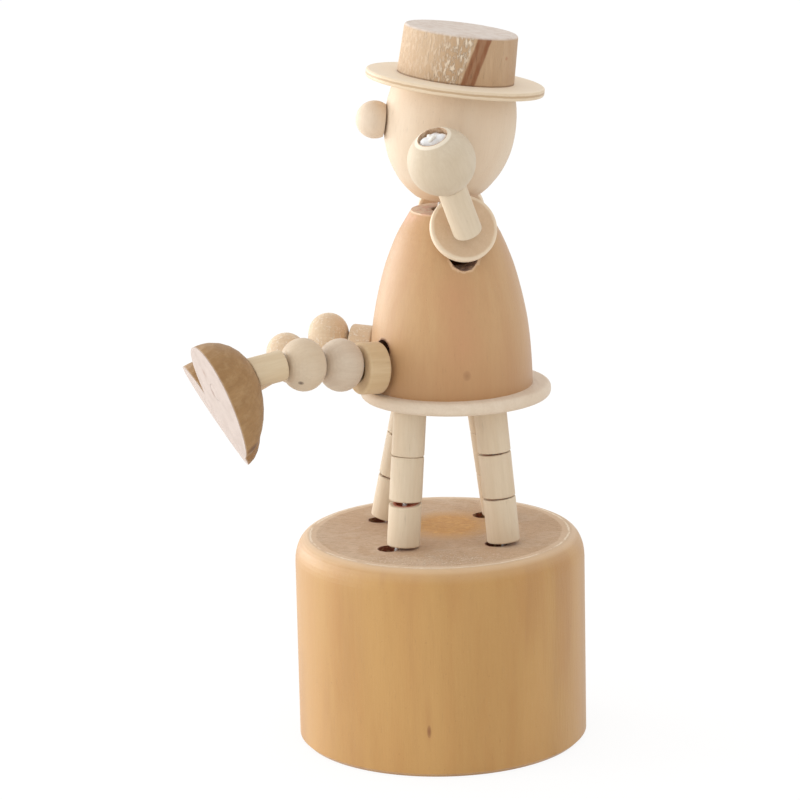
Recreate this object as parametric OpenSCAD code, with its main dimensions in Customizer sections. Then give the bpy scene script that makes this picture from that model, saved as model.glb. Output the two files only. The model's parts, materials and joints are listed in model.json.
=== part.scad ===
/* [Base drum] */
// Diameter of the base drum
base_d = 50; // [44:1:60]
// Height of the base drum
base_h = 36; // [30:1:46]
// How far the round shoulder comes in at the drum's top
base_shoulder_w = 2.5; // [1:0.1:4]
// How far down the side the round shoulder reaches
base_shoulder_h = 4.5; // [1:0.1:7]
// Width of the small chamfer round the foot
base_foot_chamfer = 0.7; // [0.3:0.1:1.2]
// Diameter of the four string holes in the drum's top
base_hole_d = 3.8; // [3.2:0.1:4.4]
// Distance between neighbouring string holes
base_hole_pitch = 18.4; // [17:0.1:20]
// Diameter of the well that the push button runs in
well_d = 31; // [29:0.5:34]
// Depth of the button well
well_depth = 24; // [22:0.5:27]
// Chamfer at the mouth of the well
well_chamfer = 0.8; // [0.4:0.1:1.4]

/* [Push button] */
// Gap all round between the button and its well
button_clearance = 0.4; // [0.3:0.05:0.8]
// Thickness of the button
button_t = 7.8; // [6:0.1:8.4]
// How far the button sits inside the foot
button_recess = 1.2; // [0.6:0.1:2]
// How far the button travels when it is pushed in
button_travel = 7.5; // [5:0.1:7.6]
// Edge rounding of the button's thumb face
button_edge = 1.0; // [0.4:0.1:1.6]
// Depth of the shallow thumb dish
button_dish = 0.6; // [0.3:0.1:1]
// Distance between neighbouring string holes in the button
button_hole_pitch = 17.2; // [16.6:0.1:18]
// Diameter of the string holes in the button
button_hole_d = 1.6; // [1.4:0.1:2]
// Diameter of the pocket that hides each knot
knot_pocket_d = 3.2; // [3:0.1:3.6]
// Depth of the pocket that hides each knot
knot_pocket_depth = 3.4; // [3:0.1:4]

/* [Return spring] */
// Mean diameter of the return spring
spring_d = 15; // [12:0.5:16]
// Wire diameter of the return spring
spring_wire_d = 1.0; // [0.7:0.1:1.1]
// Number of turns in the return spring
spring_turns = 5; // [3:1:6]

/* [Stool] */
// Diameter of the seat disc
seat_d = 32.6; // [30:0.2:38]
// Thickness of the seat disc
seat_t = 2.2; // [1.6:0.1:4]
// Rounding of the seat's rim
seat_edge = 0.9; // [0.3:0.1:1]
// How far the seat's centre lies behind the drum's axis
seat_back = 3.3; // [2:0.1:4]
// Diameter of one stool leg bead
stool_bead_d = 5.6; // [5:0.1:6]
// Length of one stool leg bead
stool_bead_l = 7.8; // [6:0.1:10]
// Edge rounding of a stool leg bead
stool_bead_edge = 0.3; // [0.1:0.05:0.5]
// Bore of a stool leg bead
stool_bead_bore = 3.0; // [2.4:0.1:3.2]
// Half the distance between the left and right feet
foot_half_w = 9.0; // [8.6:0.1:9.4]
// Half the distance between the front and rear feet on the left
left_foot_half_l = 8.6; // [8.2:0.1:9]
// Half the distance between the front and rear feet on the right
right_foot_half_l = 9.8; // [9.4:0.1:10]
// How far the middle of the four feet lies behind the drum's axis
foot_back = 1.5; // [1:0.1:2]
// Lean of the legs towards the middle, seen from the front
leg_lean_side = 4.5; // [3:0.5:5]
// Lean of the left legs towards the middle, seen from the side
left_leg_lean = 4.5; // [3:0.5:5]
// Lean of the right front leg towards the middle, seen from the side
right_front_leg_lean = 11.5; // [9:0.5:12]
// Lean of the right rear leg towards the middle, seen from the side
right_rear_leg_lean = 7.5; // [6:0.5:8]

/* [Torso] */
// Diameter of the torso at its foot
torso_d = 27.8; // [25:0.2:31]
// Height of the torso
torso_h = 30.2; // [26:0.2:36]
// Diameter of the flat on top of the torso
torso_top_d = 12.6; // [11:0.1:14]
// How far the torso's axis lies behind the drum's axis
torso_back = 2.6; // [2:0.1:3.4]
// Diameter of the wide hollow over the seat
torso_mouth_d = 23.2; // [22:0.2:24]
// Depth of the wide hollow over the seat
torso_mouth_depth = 8.2; // [7.6:0.1:9]
// Diameter of the bore that the strings share
torso_bore_d = 11; // [9:0.2:12]
// Diameter of the string hole at each hip
hip_hole_d = 4.0; // [3.8:0.1:4.2]
// Height of the hip holes above the seat
hip_h = 7.3; // [7:0.1:7.4]
// Heading of the hips, measured from straight ahead
hip_heading = 26; // [22:1:30]
// Diameter of the string hole at each shoulder
shoulder_hole_d = 5.0; // [4.2:0.1:5.4]
// Height of the shoulder holes above the seat
shoulder_h = 24.0; // [20:0.1:28]
// How far the shoulders point back from straight sideways
shoulder_heading = 9; // [0:1:20]
// Diameter of the string hole in the torso's top
neck_hole_d = 6.0; // [5.6:0.1:7]

/* [Arms] */
// Diameter of the shoulder washer
washer_d = 11.4; // [10:0.1:12]
// Thickness of the shoulder washer
washer_t = 1.4; // [1:0.1:2]
// Hole in the shoulder washer
washer_bore = 3.6; // [3:0.1:4]
// Angle of the washer's face above level
washer_rise = 25; // [20:1:30]
// Gap between the torso's shoulder and the washer, where the string passes
washer_standoff = 1.05; // [1:0.05:1.2]
// Height of the washer's centre above the seat
washer_h = 28.5; // [28:0.1:30]
// Diameter of the arm bead
arm_d = 4.9; // [4.4:0.1:5.4]
// Length of the arm bead
arm_l = 9.6; // [8:0.1:12]
// Bore of the arm bead
arm_bore = 2.4; // [2:0.1:2.8]
// How far the arm's foot has slipped down the washer
arm_slip = 1.3; // [0.5:0.1:2]
// Share of the raised arm's direction that points outward
arm_out_share = 0.36; // [0.28:0.01:0.5]
// Share of the raised arm's direction that points forward
arm_ahead_share = 0.32; // [0:0.01:0.4]
// Diameter of the hand ball
hand_d = 11.3; // [10:0.1:12]
// Hole in the hand ball
hand_bore = 2.0; // [1.6:0.1:2.2]
// Width of the round recess around the knot in the hand
hand_mouth_d = 5.0; // [4:0.1:6]
// Depth of the round recess around the knot in the hand
hand_mouth_depth = 2.4; // [1.6:0.1:3]

/* [Head] */
// Greatest diameter of the head
head_d = 22.2; // [20:0.2:25]
// Height of the head below the hat
head_h = 19.2; // [17:0.2:23]
// Diameter of the flat chin
chin_d = 8.8; // [7:0.2:10]
// Gap between the torso's top and the chin, where the strings show
neck_gap = 1.9; // [1.6:0.1:3]
// How far the chin's centre lies behind the drum's axis
chin_back = 1.4; // [1:0.1:2]
// Backward lean of the head
head_lean = 8; // [0:1:12]
// String bore through the head
head_bore = 3.4; // [3:0.1:4]
// Diameter of the nose ball
nose_d = 6.4; // [5:0.1:8]
// Height of the nose above the chin
nose_h = 12.1; // [10:0.1:14]
// How far the nose ball's centre stands out of the head
nose_out = 1.6; // [1:0.1:2.4]

/* [Hat] */
// Diameter of the hat's brim
brim_d = 30.2; // [26:0.2:34]
// Thickness of the hat's brim
brim_t = 1.4; // [1:0.1:2]
// Rounding of the brim's edge
brim_edge = 0.35; // [0.1:0.05:0.45]
// Diameter of the hat's crown at the brim
crown_d = 19.8; // [17:0.2:22]
// Diameter of the hat's crown at its top
crown_top_d = 19.2; // [16:0.2:22]
// Height of the hat's crown
crown_h = 8.2; // [6:0.2:12]
// Rounding of the crown's top edge
crown_edge = 0.5; // [0.2:0.1:1]

/* [Legs] */
// Height of the thigh bead's middle above the seat
thigh_h = 4.6; // [4.5:0.1:4.8]
// Diameter of the thigh bead
thigh_d = 8.8; // [8:0.1:9.4]
// Length of the thigh bead
thigh_l = 4.1; // [3.6:0.1:5]
// Edge rounding of the thigh bead
thigh_edge = 0.5; // [0.2:0.1:0.8]
// Bore of the thigh bead
thigh_bore = 3.6; // [3.4:0.1:3.8]
// Gap between the torso and the thigh bead
hip_gap = 0.3; // [0.3:0.05:0.5]
// Diameter of the round leg beads
round_bead_d = 9.0; // [8:0.1:10]
// Length of the round leg beads
round_bead_l = 6.9; // [6:0.1:7.2]
// Bore of the round leg beads
round_bead_bore = 2.8; // [2.7:0.1:3]
// Diameter of the shin bead
shin_d = 5.2; // [4.8:0.1:5.6]
// Length of the shin bead
shin_l = 4.9; // [4.6:0.1:7]
// Bore of the shin bead
shin_bore = 2.2; // [1.8:0.1:2.4]
// Edge rounding of the shin and arm beads
slim_bead_edge = 0.3; // [0.1:0.05:0.5]
// Length of the shoe
shoe_l = 20.9; // [17:0.1:24]
// Height of the shoe, half its width
shoe_h = 7.5; // [7:0.1:8]
// Depth of the flat that the shin rests on
shoe_flat_depth = 0.5; // [0.5:0.05:1]
// Distance of the ankle from the shoe's heel
ankle_from_heel = 8.4; // [7.6:0.1:9]
// String bore through the shoe
shoe_bore = 2.0; // [1.6:0.1:2.2]

/* [Strings] */
// Diameter of the strings
string_d = 0.8; // [0.5:0.1:0.9]
// Diameter of the knots
knot_d = 2.6; // [2.4:0.1:2.8]

/* [Hidden] */
$fn = 64;

// overrun of every cut past the face it opens
over = 1;
// wood left above the torso's bore, beyond its shoulder holes
torso_wall = 0.5;
// space between a ball or rim and the piece it leans on
touch_gap = 0.05;

// heights of the main faces
button_top = button_recess + button_t;
function side_lean(c) = c[0] > 0 ? left_leg_lean : c[1] < 0 ? right_front_leg_lean : right_rear_leg_lean;
function leg_slope(c) = [-c[0] * tan(leg_lean_side), -c[1] * tan(side_lean(c))];
function leg_lean(c) = atan(norm(leg_slope(c)));
function leg_rise(c) = 3 * stool_bead_l * cos(leg_lean(c)) + stool_bead_d * sin(leg_lean(c));
// the four string positions, in the order of the stool's legs
corners = [[1, -1], [-1, -1], [1, 1], [-1, 1]];
seat_bottom = base_h + max([for (c = corners) leg_rise(c)]) + 2 * touch_gap;
seat_top = seat_bottom + seat_t;
torso_top = seat_top + torso_h;
base_hole_back = -0.4;

// outlines of the turned pieces, as shares of their radius and height
torso_flare_shares = [1, 0.99, 0.97, 0.935, 0.88, 0.775, 0.64, 0.5, 0.33, 0.17, 0];
torso_height_shares = [0, 0.1, 0.2, 0.3, 0.4, 0.53, 0.66, 0.76, 0.86, 0.93, 1];
head_radius_shares = [0.52, 0.66, 0.77, 0.87, 0.94, 0.98, 1, 0.99, 0.96, 0.915];
head_height_shares = [0.05, 0.125, 0.21, 0.31, 0.42, 0.52, 0.65, 0.79, 0.9, 1];
// how much fuller the shoe is towards its heel
shoe_egg_share = 0.2;

// the rest pose: how each leg piece is headed outward from straight ahead, pitched up
// and shifted up on the one before it
left_headings = [24, 24, 24, 22, 17];
right_headings = [15, 10, 3, -4, -11];
left_pitches = [5, 6, 0, -7, -21];
right_pitches = [5, 0, -24, -28, -30];
left_shift_shares = [0, 0.08, 0.07, 0.05, 0];
right_shift_shares = [0, 0.2, -0.19, -0.02, 0];

// vector helpers
function unit(v) = v / norm(v);
function frame(o, x, y, z) = [
    [x[0], y[0], z[0], o[0]], [x[1], y[1], z[1], o[1]], [x[2], y[2], z[2], o[2]], [0, 0, 0, 1]];
function place(f, p) = [for (i = [0 : 2]) f[i][0] * p[0] + f[i][1] * p[1] + f[i][2] * p[2] + f[i][3]];
function axis_of(f, k) = [f[0][k], f[1][k], f[2][k]];
function moved(f, p) = frame(place(f, p), axis_of(f, 0), axis_of(f, 1), axis_of(f, 2));
function between(a, b, t) = a + (b - a) * t;

// smooth curve through hand-set points, four steps a span
function bend(p, i, t) =
    let (n = len(p) - 1, a = p[max(i - 1, 0)], b = p[i], c = p[min(i + 1, n)], d = p[min(i + 2, n)])
    0.5 * (2 * b + (c - a) * t + (2 * a - 5 * b + 4 * c - d) * t * t + (3 * b - a - 3 * c + d) * t * t * t);
function smooth(p, steps) = concat([for (i = [0 : len(p) - 2], k = [0 : steps - 1]) bend(p, i, k / steps)],
    [p[len(p) - 1]]);

// quarter circle from angle a to angle b
function arc(centre, r, a, b, steps = 6) =
    [for (k = [0 : steps]) centre + r * [cos(a + (b - a) * k / steps), sin(a + (b - a) * k / steps)]];

// a string's path as a closed tube whose radius may swell into knots
string_sides = 8;
function tube_axes(path, i) =
    let (n = len(path) - 1, d = unit(path[min(i + 1, n)] - path[max(i - 1, 0)]),
        s = unit(cross(d, abs(d[1]) > 0.9 ? [1, 0, 0] : [0, 1, 0])))
    [s, cross(d, s)];
module tube(path, radii, sides) {
    rings = len(path);
    points = [for (i = [0 : rings - 1]) let (ax = tube_axes(path, i)) for (k = [0 : sides - 1])
        path[i] + radii[i] * (ax[0] * cos(360 * k / sides) + ax[1] * sin(360 * k / sides))];
    walls = [for (i = [0 : rings - 2], k = [0 : sides - 1]) let (m = (k + 1) % sides) each [
        [i * sides + k, (i + 1) * sides + m, i * sides + m],
        [i * sides + k, (i + 1) * sides + k, (i + 1) * sides + m]]];
    low = [for (k = [1 : sides - 2]) [0, k, k + 1]];
    top = (rings - 1) * sides;
    high = [for (k = [1 : sides - 2]) [top, top + k + 1, top + k]];
    polyhedron(points, concat(walls, low, high), convexity = 10);
}

// base drum, button and spring

function base_hole(c) = [c[0] * base_hole_pitch / 2, base_hole_back + c[1] * base_hole_pitch / 2];
function button_hole(c) = [c[0] * button_hole_pitch / 2, c[1] * button_hole_pitch / 2];

module base_drum() {
    color("burlywood") difference() {
        rotate_extrude() polygon(concat(
            [[0, 0], [base_d / 2 - base_foot_chamfer, 0], [base_d / 2, base_foot_chamfer]],
            [for (a = [0 : 10 : 90]) [
                base_d / 2 - base_shoulder_w * (1 - cos(a)), base_h - base_shoulder_h * (1 - sin(a))]],
            [[0, base_h]]));
        translate([0, 0, -over]) cylinder(d = well_d, h = well_depth + over);
        translate([0, 0, -over]) cylinder(
            d1 = well_d + 2 * (well_chamfer + over), d2 = well_d, h = well_chamfer + over);
        for (c = corners) translate([base_hole(c)[0], base_hole(c)[1], well_depth - over])
            cylinder(d = base_hole_d, h = base_h - well_depth + 2 * over, $fn = 32);
    }
}

module button() {
    r = well_d / 2 - button_clearance;
    dish_r = r - 2 * button_edge;
    ball_r = (dish_r * dish_r + button_dish * button_dish) / (2 * button_dish);
    color("wheat") translate([0, 0, button_recess]) difference() {
        rotate_extrude() polygon(concat([[0, 0]],
            arc([r - button_edge, button_edge], button_edge, -90, 0),
            [[r, button_t], [0, button_t]]));
        translate([0, 0, button_dish - ball_r]) sphere(r = ball_r, $fn = 128);
        for (c = corners) translate([button_hole(c)[0], button_hole(c)[1], -over]) {
            cylinder(d = button_hole_d, h = button_t + 2 * over, $fn = 32);
            cylinder(d = knot_pocket_d, h = knot_pocket_depth + over, $fn = 32);
        }
    }
}

// the spring stands on the button and presses against the roof of the well
spring_steps = 8;
spring_low = button_top + spring_wire_d / 2 + touch_gap;
spring_high = well_depth - spring_wire_d / 2 - touch_gap;
spring_path = [for (i = [0 : spring_turns * spring_steps])
    [spring_d / 2 * cos(360 * i / spring_steps), spring_d / 2 * sin(360 * i / spring_steps),
        between(spring_low, spring_high, i / (spring_turns * spring_steps))]];
spring_gap = (spring_high - spring_low) / spring_turns - spring_wire_d;
echo(spring_least_self_gap = spring_gap);

module return_spring() {
    color("silver") tube(spring_path, [for (p = spring_path) spring_wire_d / 2], 6);
}

// stool

// a leg's axis from its foot to the seat, for the corner c
function leg_dir(c) = unit([leg_slope(c)[0], leg_slope(c)[1], 1]);
function leg_foot(c) = [c[0] * foot_half_w,
    foot_back + c[1] * (c[0] > 0 ? left_foot_half_l : right_foot_half_l),
    base_h + touch_gap + stool_bead_d / 2 * sin(leg_lean(c))];
function leg_frame(c) = let (d = leg_dir(c), x = unit(cross([0, 1, 0], d)))
    frame(leg_foot(c), x, cross(d, x), d);
function bead_frame(c, k) = moved(leg_frame(c), [0, 0, k * stool_bead_l]);

// a straight drilled bead with rounded rims, standing on its lower face
module bead(d, l, bore, edge) {
    rotate_extrude() polygon(concat(
        [[bore / 2 + edge, 0]],
        arc([d / 2 - edge, edge], edge, -90, 0, 4),
        arc([d / 2 - edge, l - edge], edge, 0, 90, 4),
        [[bore / 2 + edge, l], [bore / 2, l - edge], [bore / 2, edge]]));
}

module stool_bead(c, k) {
    color("blanchedalmond") multmatrix(bead_frame(c, k))
        bead(stool_bead_d, stool_bead_l, stool_bead_bore, stool_bead_edge);
}

module seat_disc() {
    color("blanchedalmond") difference() {
        translate([0, seat_back, seat_bottom]) rotate_extrude() polygon(concat([[0, 0]],
            arc([seat_d / 2 - seat_edge, seat_edge], seat_edge, -90, 0),
            arc([seat_d / 2 - seat_edge, seat_t - seat_edge], seat_edge, 0, 90),
            [[0, seat_t]]));
        for (c = corners) let (p = place(bead_frame(c, 3), [0, 0, 0]))
            translate([p[0], p[1], seat_bottom - over])
                cylinder(d = stool_bead_bore, h = seat_t + 2 * over, $fn = 32);
    }
}

// torso

torso_outline = smooth([for (i = [0 : len(torso_flare_shares) - 1]) [
    between(torso_top_d / 2, torso_d / 2, torso_flare_shares[i]), torso_h * torso_height_shares[i]]], 3);
torso_bore_top = shoulder_h + shoulder_hole_d / 2 + torso_wall;
function torso_r(h) = lookup(h, [for (p = torso_outline) [p[1], p[0]]]);
torso_foot = [0, torso_back, seat_top];
function ahead(s, heading) = [s * sin(heading), -cos(heading), 0];
function arm_aside(s) = [s * cos(shoulder_heading), sin(shoulder_heading), 0];

module torso() {
    color("burlywood") translate([0, torso_back, seat_top]) difference() {
        rotate_extrude() polygon(concat([[0, 0]], torso_outline, [[0, torso_h]]));
        translate([0, 0, -over]) cylinder(d = torso_mouth_d, h = torso_mouth_depth + over);
        translate([0, 0, -over]) cylinder(d = torso_bore_d, h = torso_bore_top + over);
        translate([0, 0, torso_bore_top - over])
            cylinder(d = neck_hole_d, h = torso_h - torso_bore_top + 2 * over, $fn = 32);
        for (s = [1, -1]) {
            translate([0, 0, hip_h]) rotate([90, 0, s * hip_heading])
                cylinder(d = hip_hole_d, h = torso_d, $fn = 32);
            translate([0, 0, shoulder_h]) rotate([0, 90, 90 - s * (90 - shoulder_heading)])
                cylinder(d = shoulder_hole_d, h = torso_d, $fn = 32);
        }
    }
}

// arms

up = [0, 0, 1];
function washer_normal(s) = arm_aside(s) * cos(washer_rise) + up * sin(washer_rise);
function washer_above(s) = -arm_aside(s) * sin(washer_rise) + up * cos(washer_rise);
// how far the torso reaches towards the washer
torso_reach = max([for (p = torso_outline) p[0] * cos(washer_rise) + p[1] * sin(washer_rise)]);
washer_out = (torso_reach + washer_standoff + washer_t / 2 - washer_h * sin(washer_rise)) / cos(washer_rise);
function washer_frame(s) = let (n = washer_normal(s), v = washer_above(s))
    frame(torso_foot + arm_aside(s) * washer_out + up * washer_h - n * washer_t / 2, cross(v, n), v, n);

function arm_dir(s) = [s * arm_out_share, -arm_ahead_share,
    sqrt(1 - arm_out_share * arm_out_share - arm_ahead_share * arm_ahead_share)];
function arm_tilt(s) = acos(washer_normal(s) * arm_dir(s));
function arm_frame(s) = let (n = washer_normal(s), d = arm_dir(s), y = -unit(n - (n * d) * d))
    frame(place(washer_frame(s), [0, -arm_slip, washer_t + touch_gap + arm_d / 2 * sin(arm_tilt(s))]),
        cross(y, d), y, d);
function hand_frame(s) = moved(arm_frame(s), [0, 0, arm_l + touch_gap]);
hand_centre = sqrt(pow(hand_d / 2, 2) - pow(arm_d / 2, 2));
hand_mouth_floor = hand_centre + hand_d / 2 - hand_mouth_depth;

module washer(s) {
    color("tan") multmatrix(washer_frame(s)) bead(washer_d, washer_t, washer_bore, slim_bead_edge);
}

module arm(s) {
    color("wheat") multmatrix(arm_frame(s)) bead(arm_d, arm_l, arm_bore, slim_bead_edge);
}

module hand(s) {
    color("blanchedalmond") multmatrix(hand_frame(s)) difference() {
        translate([0, 0, hand_centre]) sphere(d = hand_d);
        translate([0, 0, -hand_d]) cylinder(d = hand_d, h = hand_d);
        translate([0, 0, -over]) cylinder(d = hand_bore, h = hand_d + over, $fn = 32);
        translate([0, 0, hand_mouth_floor]) cylinder(d = hand_mouth_d, h = hand_d, $fn = 48);
    }
}

// head and hat

head_up = [0, sin(head_lean), cos(head_lean)];
head_frame = frame([0, chin_back, torso_top + neck_gap], [1, 0, 0], cross(head_up, [1, 0, 0]), head_up);
head_outline = smooth(concat([[chin_d / 2, 0]], [for (i = [0 : len(head_radius_shares) - 1])
    [head_d / 2 * head_radius_shares[i], head_h * head_height_shares[i]]]), 3);
function head_r(h) = lookup(h, [for (p = head_outline) [p[1], p[0]]]);
neck_knot_d = head_bore + string_d;
neck_pocket_d = neck_knot_d + string_d;
neck_pocket_floor = head_h - neck_knot_d - string_d;
neck_strand_shift = string_d / 2 + touch_gap;
neck_tail = torso_h - shoulder_h + knot_d;

module head() {
    color("peachpuff") multmatrix(head_frame) difference() {
        rotate_extrude() polygon(concat([[0, 0]], head_outline, [[0, head_h]]));
        translate([0, 0, -over]) cylinder(d = head_bore, h = head_h + 2 * over, $fn = 32);
        translate([0, 0, neck_pocket_floor]) cylinder(d = neck_pocket_d, h = head_h, $fn = 32);
    }
}

module nose() {
    color("wheat") multmatrix(head_frame) translate([0, -head_r(nose_h) - touch_gap, nose_h])
        rotate([90, 0, 0]) rotate_extrude() polygon(concat([[0, 0]],
            arc([0, nose_out], nose_d / 2, -asin(2 * nose_out / nose_d), 90, 16)));
}

module hat_brim() {
    color("moccasin") multmatrix(moved(head_frame, [0, 0, head_h])) rotate_extrude() polygon(concat([[0, 0]],
        arc([brim_d / 2 - brim_edge, brim_edge], brim_edge, -90, 0),
        arc([brim_d / 2 - brim_edge, brim_t - brim_edge], brim_edge, 0, 90),
        [[0, brim_t]]));
}

module hat_crown() {
    color("tan") multmatrix(moved(head_frame, [0, 0, head_h + brim_t])) rotate_extrude()
        polygon(concat([[0, 0], [crown_d / 2, 0]],
            arc([crown_top_d / 2 - crown_edge, crown_h - crown_edge], crown_edge, 0, 90),
            [[0, crown_h]]));
}

// two strands side by side, with a knot over the head's bore and one inside the torso
module neck_string() {
    color("white") multmatrix(head_frame) {
        for (x = [-neck_strand_shift, neck_strand_shift]) translate([x, 0, -neck_tail])
            cylinder(d = string_d, h = neck_tail + neck_pocket_floor + neck_knot_d / 2, $fn = 16);
        translate([0, 0, neck_pocket_floor + neck_knot_d / 2 + touch_gap]) sphere(d = neck_knot_d, $fn = 32);
        translate([0, 0, -neck_tail]) sphere(d = knot_d, $fn = 32);
    }
}

// legs

// local axes of a leg piece: z runs out along the leg, y points up
function pitched(o, w, a) = let (d = w * cos(a) + up * sin(a), y = -w * sin(a) + up * cos(a))
    frame(o, cross(y, d), y, d);
function headings(s) = s > 0 ? left_headings : right_headings;
function pitches(s) = s > 0 ? left_pitches : right_pitches;
function shifts(s) = round_bead_d * (s > 0 ? left_shift_shares : right_shift_shares);
leg_lengths = [thigh_l, round_bead_l, round_bead_l, shin_l];
round_flat_r = (round_bead_d - round_bead_l) / 2;
// how far up its rounding a round bead is gripped, as a share of its length
round_grip_share = 0.1;
round_rock = round_flat_r + round_bead_l * round_grip_share;
// how far a round bead's end has curved back at a distance from its axis
round_fit_share = 0.6;
function round_drop(y) = round_fit_share * (round_bead_l / 2
    - sqrt(pow(round_bead_l / 2, 2) - pow(max(y - round_flat_r, 0), 2)));
slim_rock = shin_d / 2 - slim_bead_edge;
// how far under each piece's axis it rocks on the piece before it
rocks = [thigh_d / 2 - thigh_edge, round_rock, round_rock, slim_rock, slim_rock];
function hip(s) = torso_foot + up * thigh_h + ahead(s, hip_heading) * (torso_r(0) + hip_gap);
function leg_piece(s, k) = let (w = ahead(s, headings(s)[k]), a = pitches(s)[k])
    k == 0 ? pitched(hip(s), w, a) : moved(pitched(leg_hinge(s, k), w, a), [0, rocks[k], 0]);
function leg_hinge(s, k) = let (f = leg_piece(s, max(k - 1, 0)))
    k == 0 ? place(f, [0, -rocks[0], 0])
    : let (y = shifts(s)[k] - rocks[k], turn = headings(s)[k] - headings(s)[k - 1])
        place(f, [0, y, leg_lengths[k - 1] + touch_gap + rocks[k] * abs(sin(turn))
            - (k == 2 || k == 3 ? round_drop(abs(y)) : 0)]);

module thigh(s) {
    color("wheat") multmatrix(leg_piece(s, 0)) bead(thigh_d, thigh_l, thigh_bore, thigh_edge);
}

// a fully rounded bead
module round_bead(s, k) {
    r = round_bead_l / 2;
    color("tan") multmatrix(leg_piece(s, k)) difference() {
        rotate_extrude() polygon(concat([[0, 0]],
            arc([round_bead_d / 2 - r, r], r, -90, 90, 16), [[0, round_bead_l]]));
        translate([0, 0, -over]) cylinder(d = round_bead_bore, h = round_bead_l + 2 * over, $fn = 32);
    }
}

module shin(s) {
    color("wheat") multmatrix(leg_piece(s, 3)) bead(shin_d, shin_l, shin_bore, slim_bead_edge);
}

shoe_sole = shoe_h - shoe_flat_depth;
function egg(a) = sin(a) * (1 + shoe_egg_share * cos(a));
shoe_fullness = max([for (a = [60 : 2 : 90]) egg(a)]);
shoe_outline = [for (a = [0 : 10 : 180]) [shoe_h * egg(a) / shoe_fullness, shoe_l * (1 - cos(a)) / 2]];

// half an egg, its flat sole away from the leg and its toe pointing down
module shoe(s) {
    color("sienna") multmatrix(leg_piece(s, 4)) difference() {
        translate([0, ankle_from_heel, shoe_sole]) rotate([90, 0, 0]) rotate_extrude() polygon(shoe_outline);
        translate([-shoe_l, -shoe_l, shoe_sole]) cube([2 * shoe_l, 2 * shoe_l, 2 * shoe_h]);
        translate([-shoe_l, -shoe_l, -shoe_h]) cube([2 * shoe_l, 2 * shoe_l, shoe_h]);
        translate([0, 0, -over]) cylinder(d = shoe_bore, h = shoe_h + 2 * over, $fn = 32);
        translate([0, 0, shoe_sole - knot_d]) cylinder(d = knot_pocket_d, h = knot_d + over, $fn = 32);
    }
}

// strings

string_room = string_d / 2 + touch_gap * 2;
shoulder_top = shoulder_h + shoulder_hole_d / 2 - string_room;
washer_room = washer_bore / 2 - string_room;
function towards(a, b, most) = norm(b - a) < most ? b : a + unit(b - a) * most;
function flat(p) = [p[0], p[1]];
function raised(p, z) = [p[0], p[1], z];
// from the knot under the button to the top of the seat
function stool_route(c) =
    let (b = button_hole(c), h = base_hole(c), f = bead_frame(c, 0),
        q = towards(h, flat(leg_foot(c)), base_hole_d / 2 - string_room),
        e = towards([0, 0], q - flat(leg_foot(c)), stool_bead_bore / 2 - string_room),
        t = place(bead_frame(c, 3), [0, 0, 0]))
    [raised(b, button_recess + knot_pocket_depth), raised(b, button_top), raised(h, well_depth),
        raised(q, base_h), place(f, [e[0], e[1], 0]), place(bead_frame(c, 1), [0, 0, 0]), t,
        raised(t, seat_top)];
function leg_route(s) = concat(stool_route([s, -1]),
    [torso_foot + ahead(s, hip_heading) * (torso_mouth_d / 2 - string_d) + up * (hip_h - string_d),
        torso_foot + ahead(s, hip_heading) * torso_r(hip_h) + up * (hip_h - hip_hole_d / 2 + string_room),
        place(leg_piece(s, 0), [0, thigh_bore / 2 - string_room, 0])],
    [for (k = [1 : 4]) each [place(leg_piece(s, k - 1), [0, shifts(s)[k] / 2, leg_lengths[k - 1]]),
        place(leg_piece(s, k), [0, -shifts(s)[k] / 3, touch_gap])]],
    [place(leg_piece(s, 4), [0, 0, shoe_sole - knot_d + touch_gap])]);
function arm_route(s) = let (w = washer_frame(s), a = arm_frame(s), n = knot_d / 2 + string_room,
        k = place(head_frame, [0, 0, -neck_tail]))
    concat(stool_route([s, 1]),
    [torso_foot + [s * n * 2, n, torso_mouth_depth], k + [s * n, 0, 0],
        torso_foot + arm_aside(s) * torso_bore_d / 2 + up * shoulder_h,
        torso_foot + arm_aside(s) * torso_r(shoulder_top) + up * shoulder_top,
        place(w, [0, -washer_room, 0]), place(w, [0, -washer_room / 2, washer_t]), place(a, [0, 0, 0]),
        place(hand_frame(s), [0, 0, 0]), place(hand_frame(s), [0, 0, hand_mouth_floor])]);

// a knot is a swelling past each end of the route
function knot_ring(a) = knot_d / 2 * cos(a);
knot_angles = [-70, -35, 0, 35, 60];
function knotted(r) = let (n = len(r) - 1, a = unit(r[0] - r[1]), b = unit(r[n] - r[n - 1]))
    concat([for (t = knot_angles) r[0] + a * knot_d / 2 * (1 - sin(t))], r,
        [for (i = [4 : -1 : 0]) r[n] + b * knot_d / 2 * (1 - sin(knot_angles[i]))]);
function knotted_radii(r) = concat([for (t = knot_angles) knot_ring(t)], [for (p = r) string_d / 2],
    [for (i = [4 : -1 : 0]) knot_ring(knot_angles[i])]);

module leg_string(s) {
    color("white") tube(knotted(leg_route(s)), knotted_radii(leg_route(s)), string_sides);
}

module arm_string(s) {
    color("white") tube(knotted(arm_route(s)), knotted_radii(arm_route(s)), string_sides);
}

// hinge lines

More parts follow.
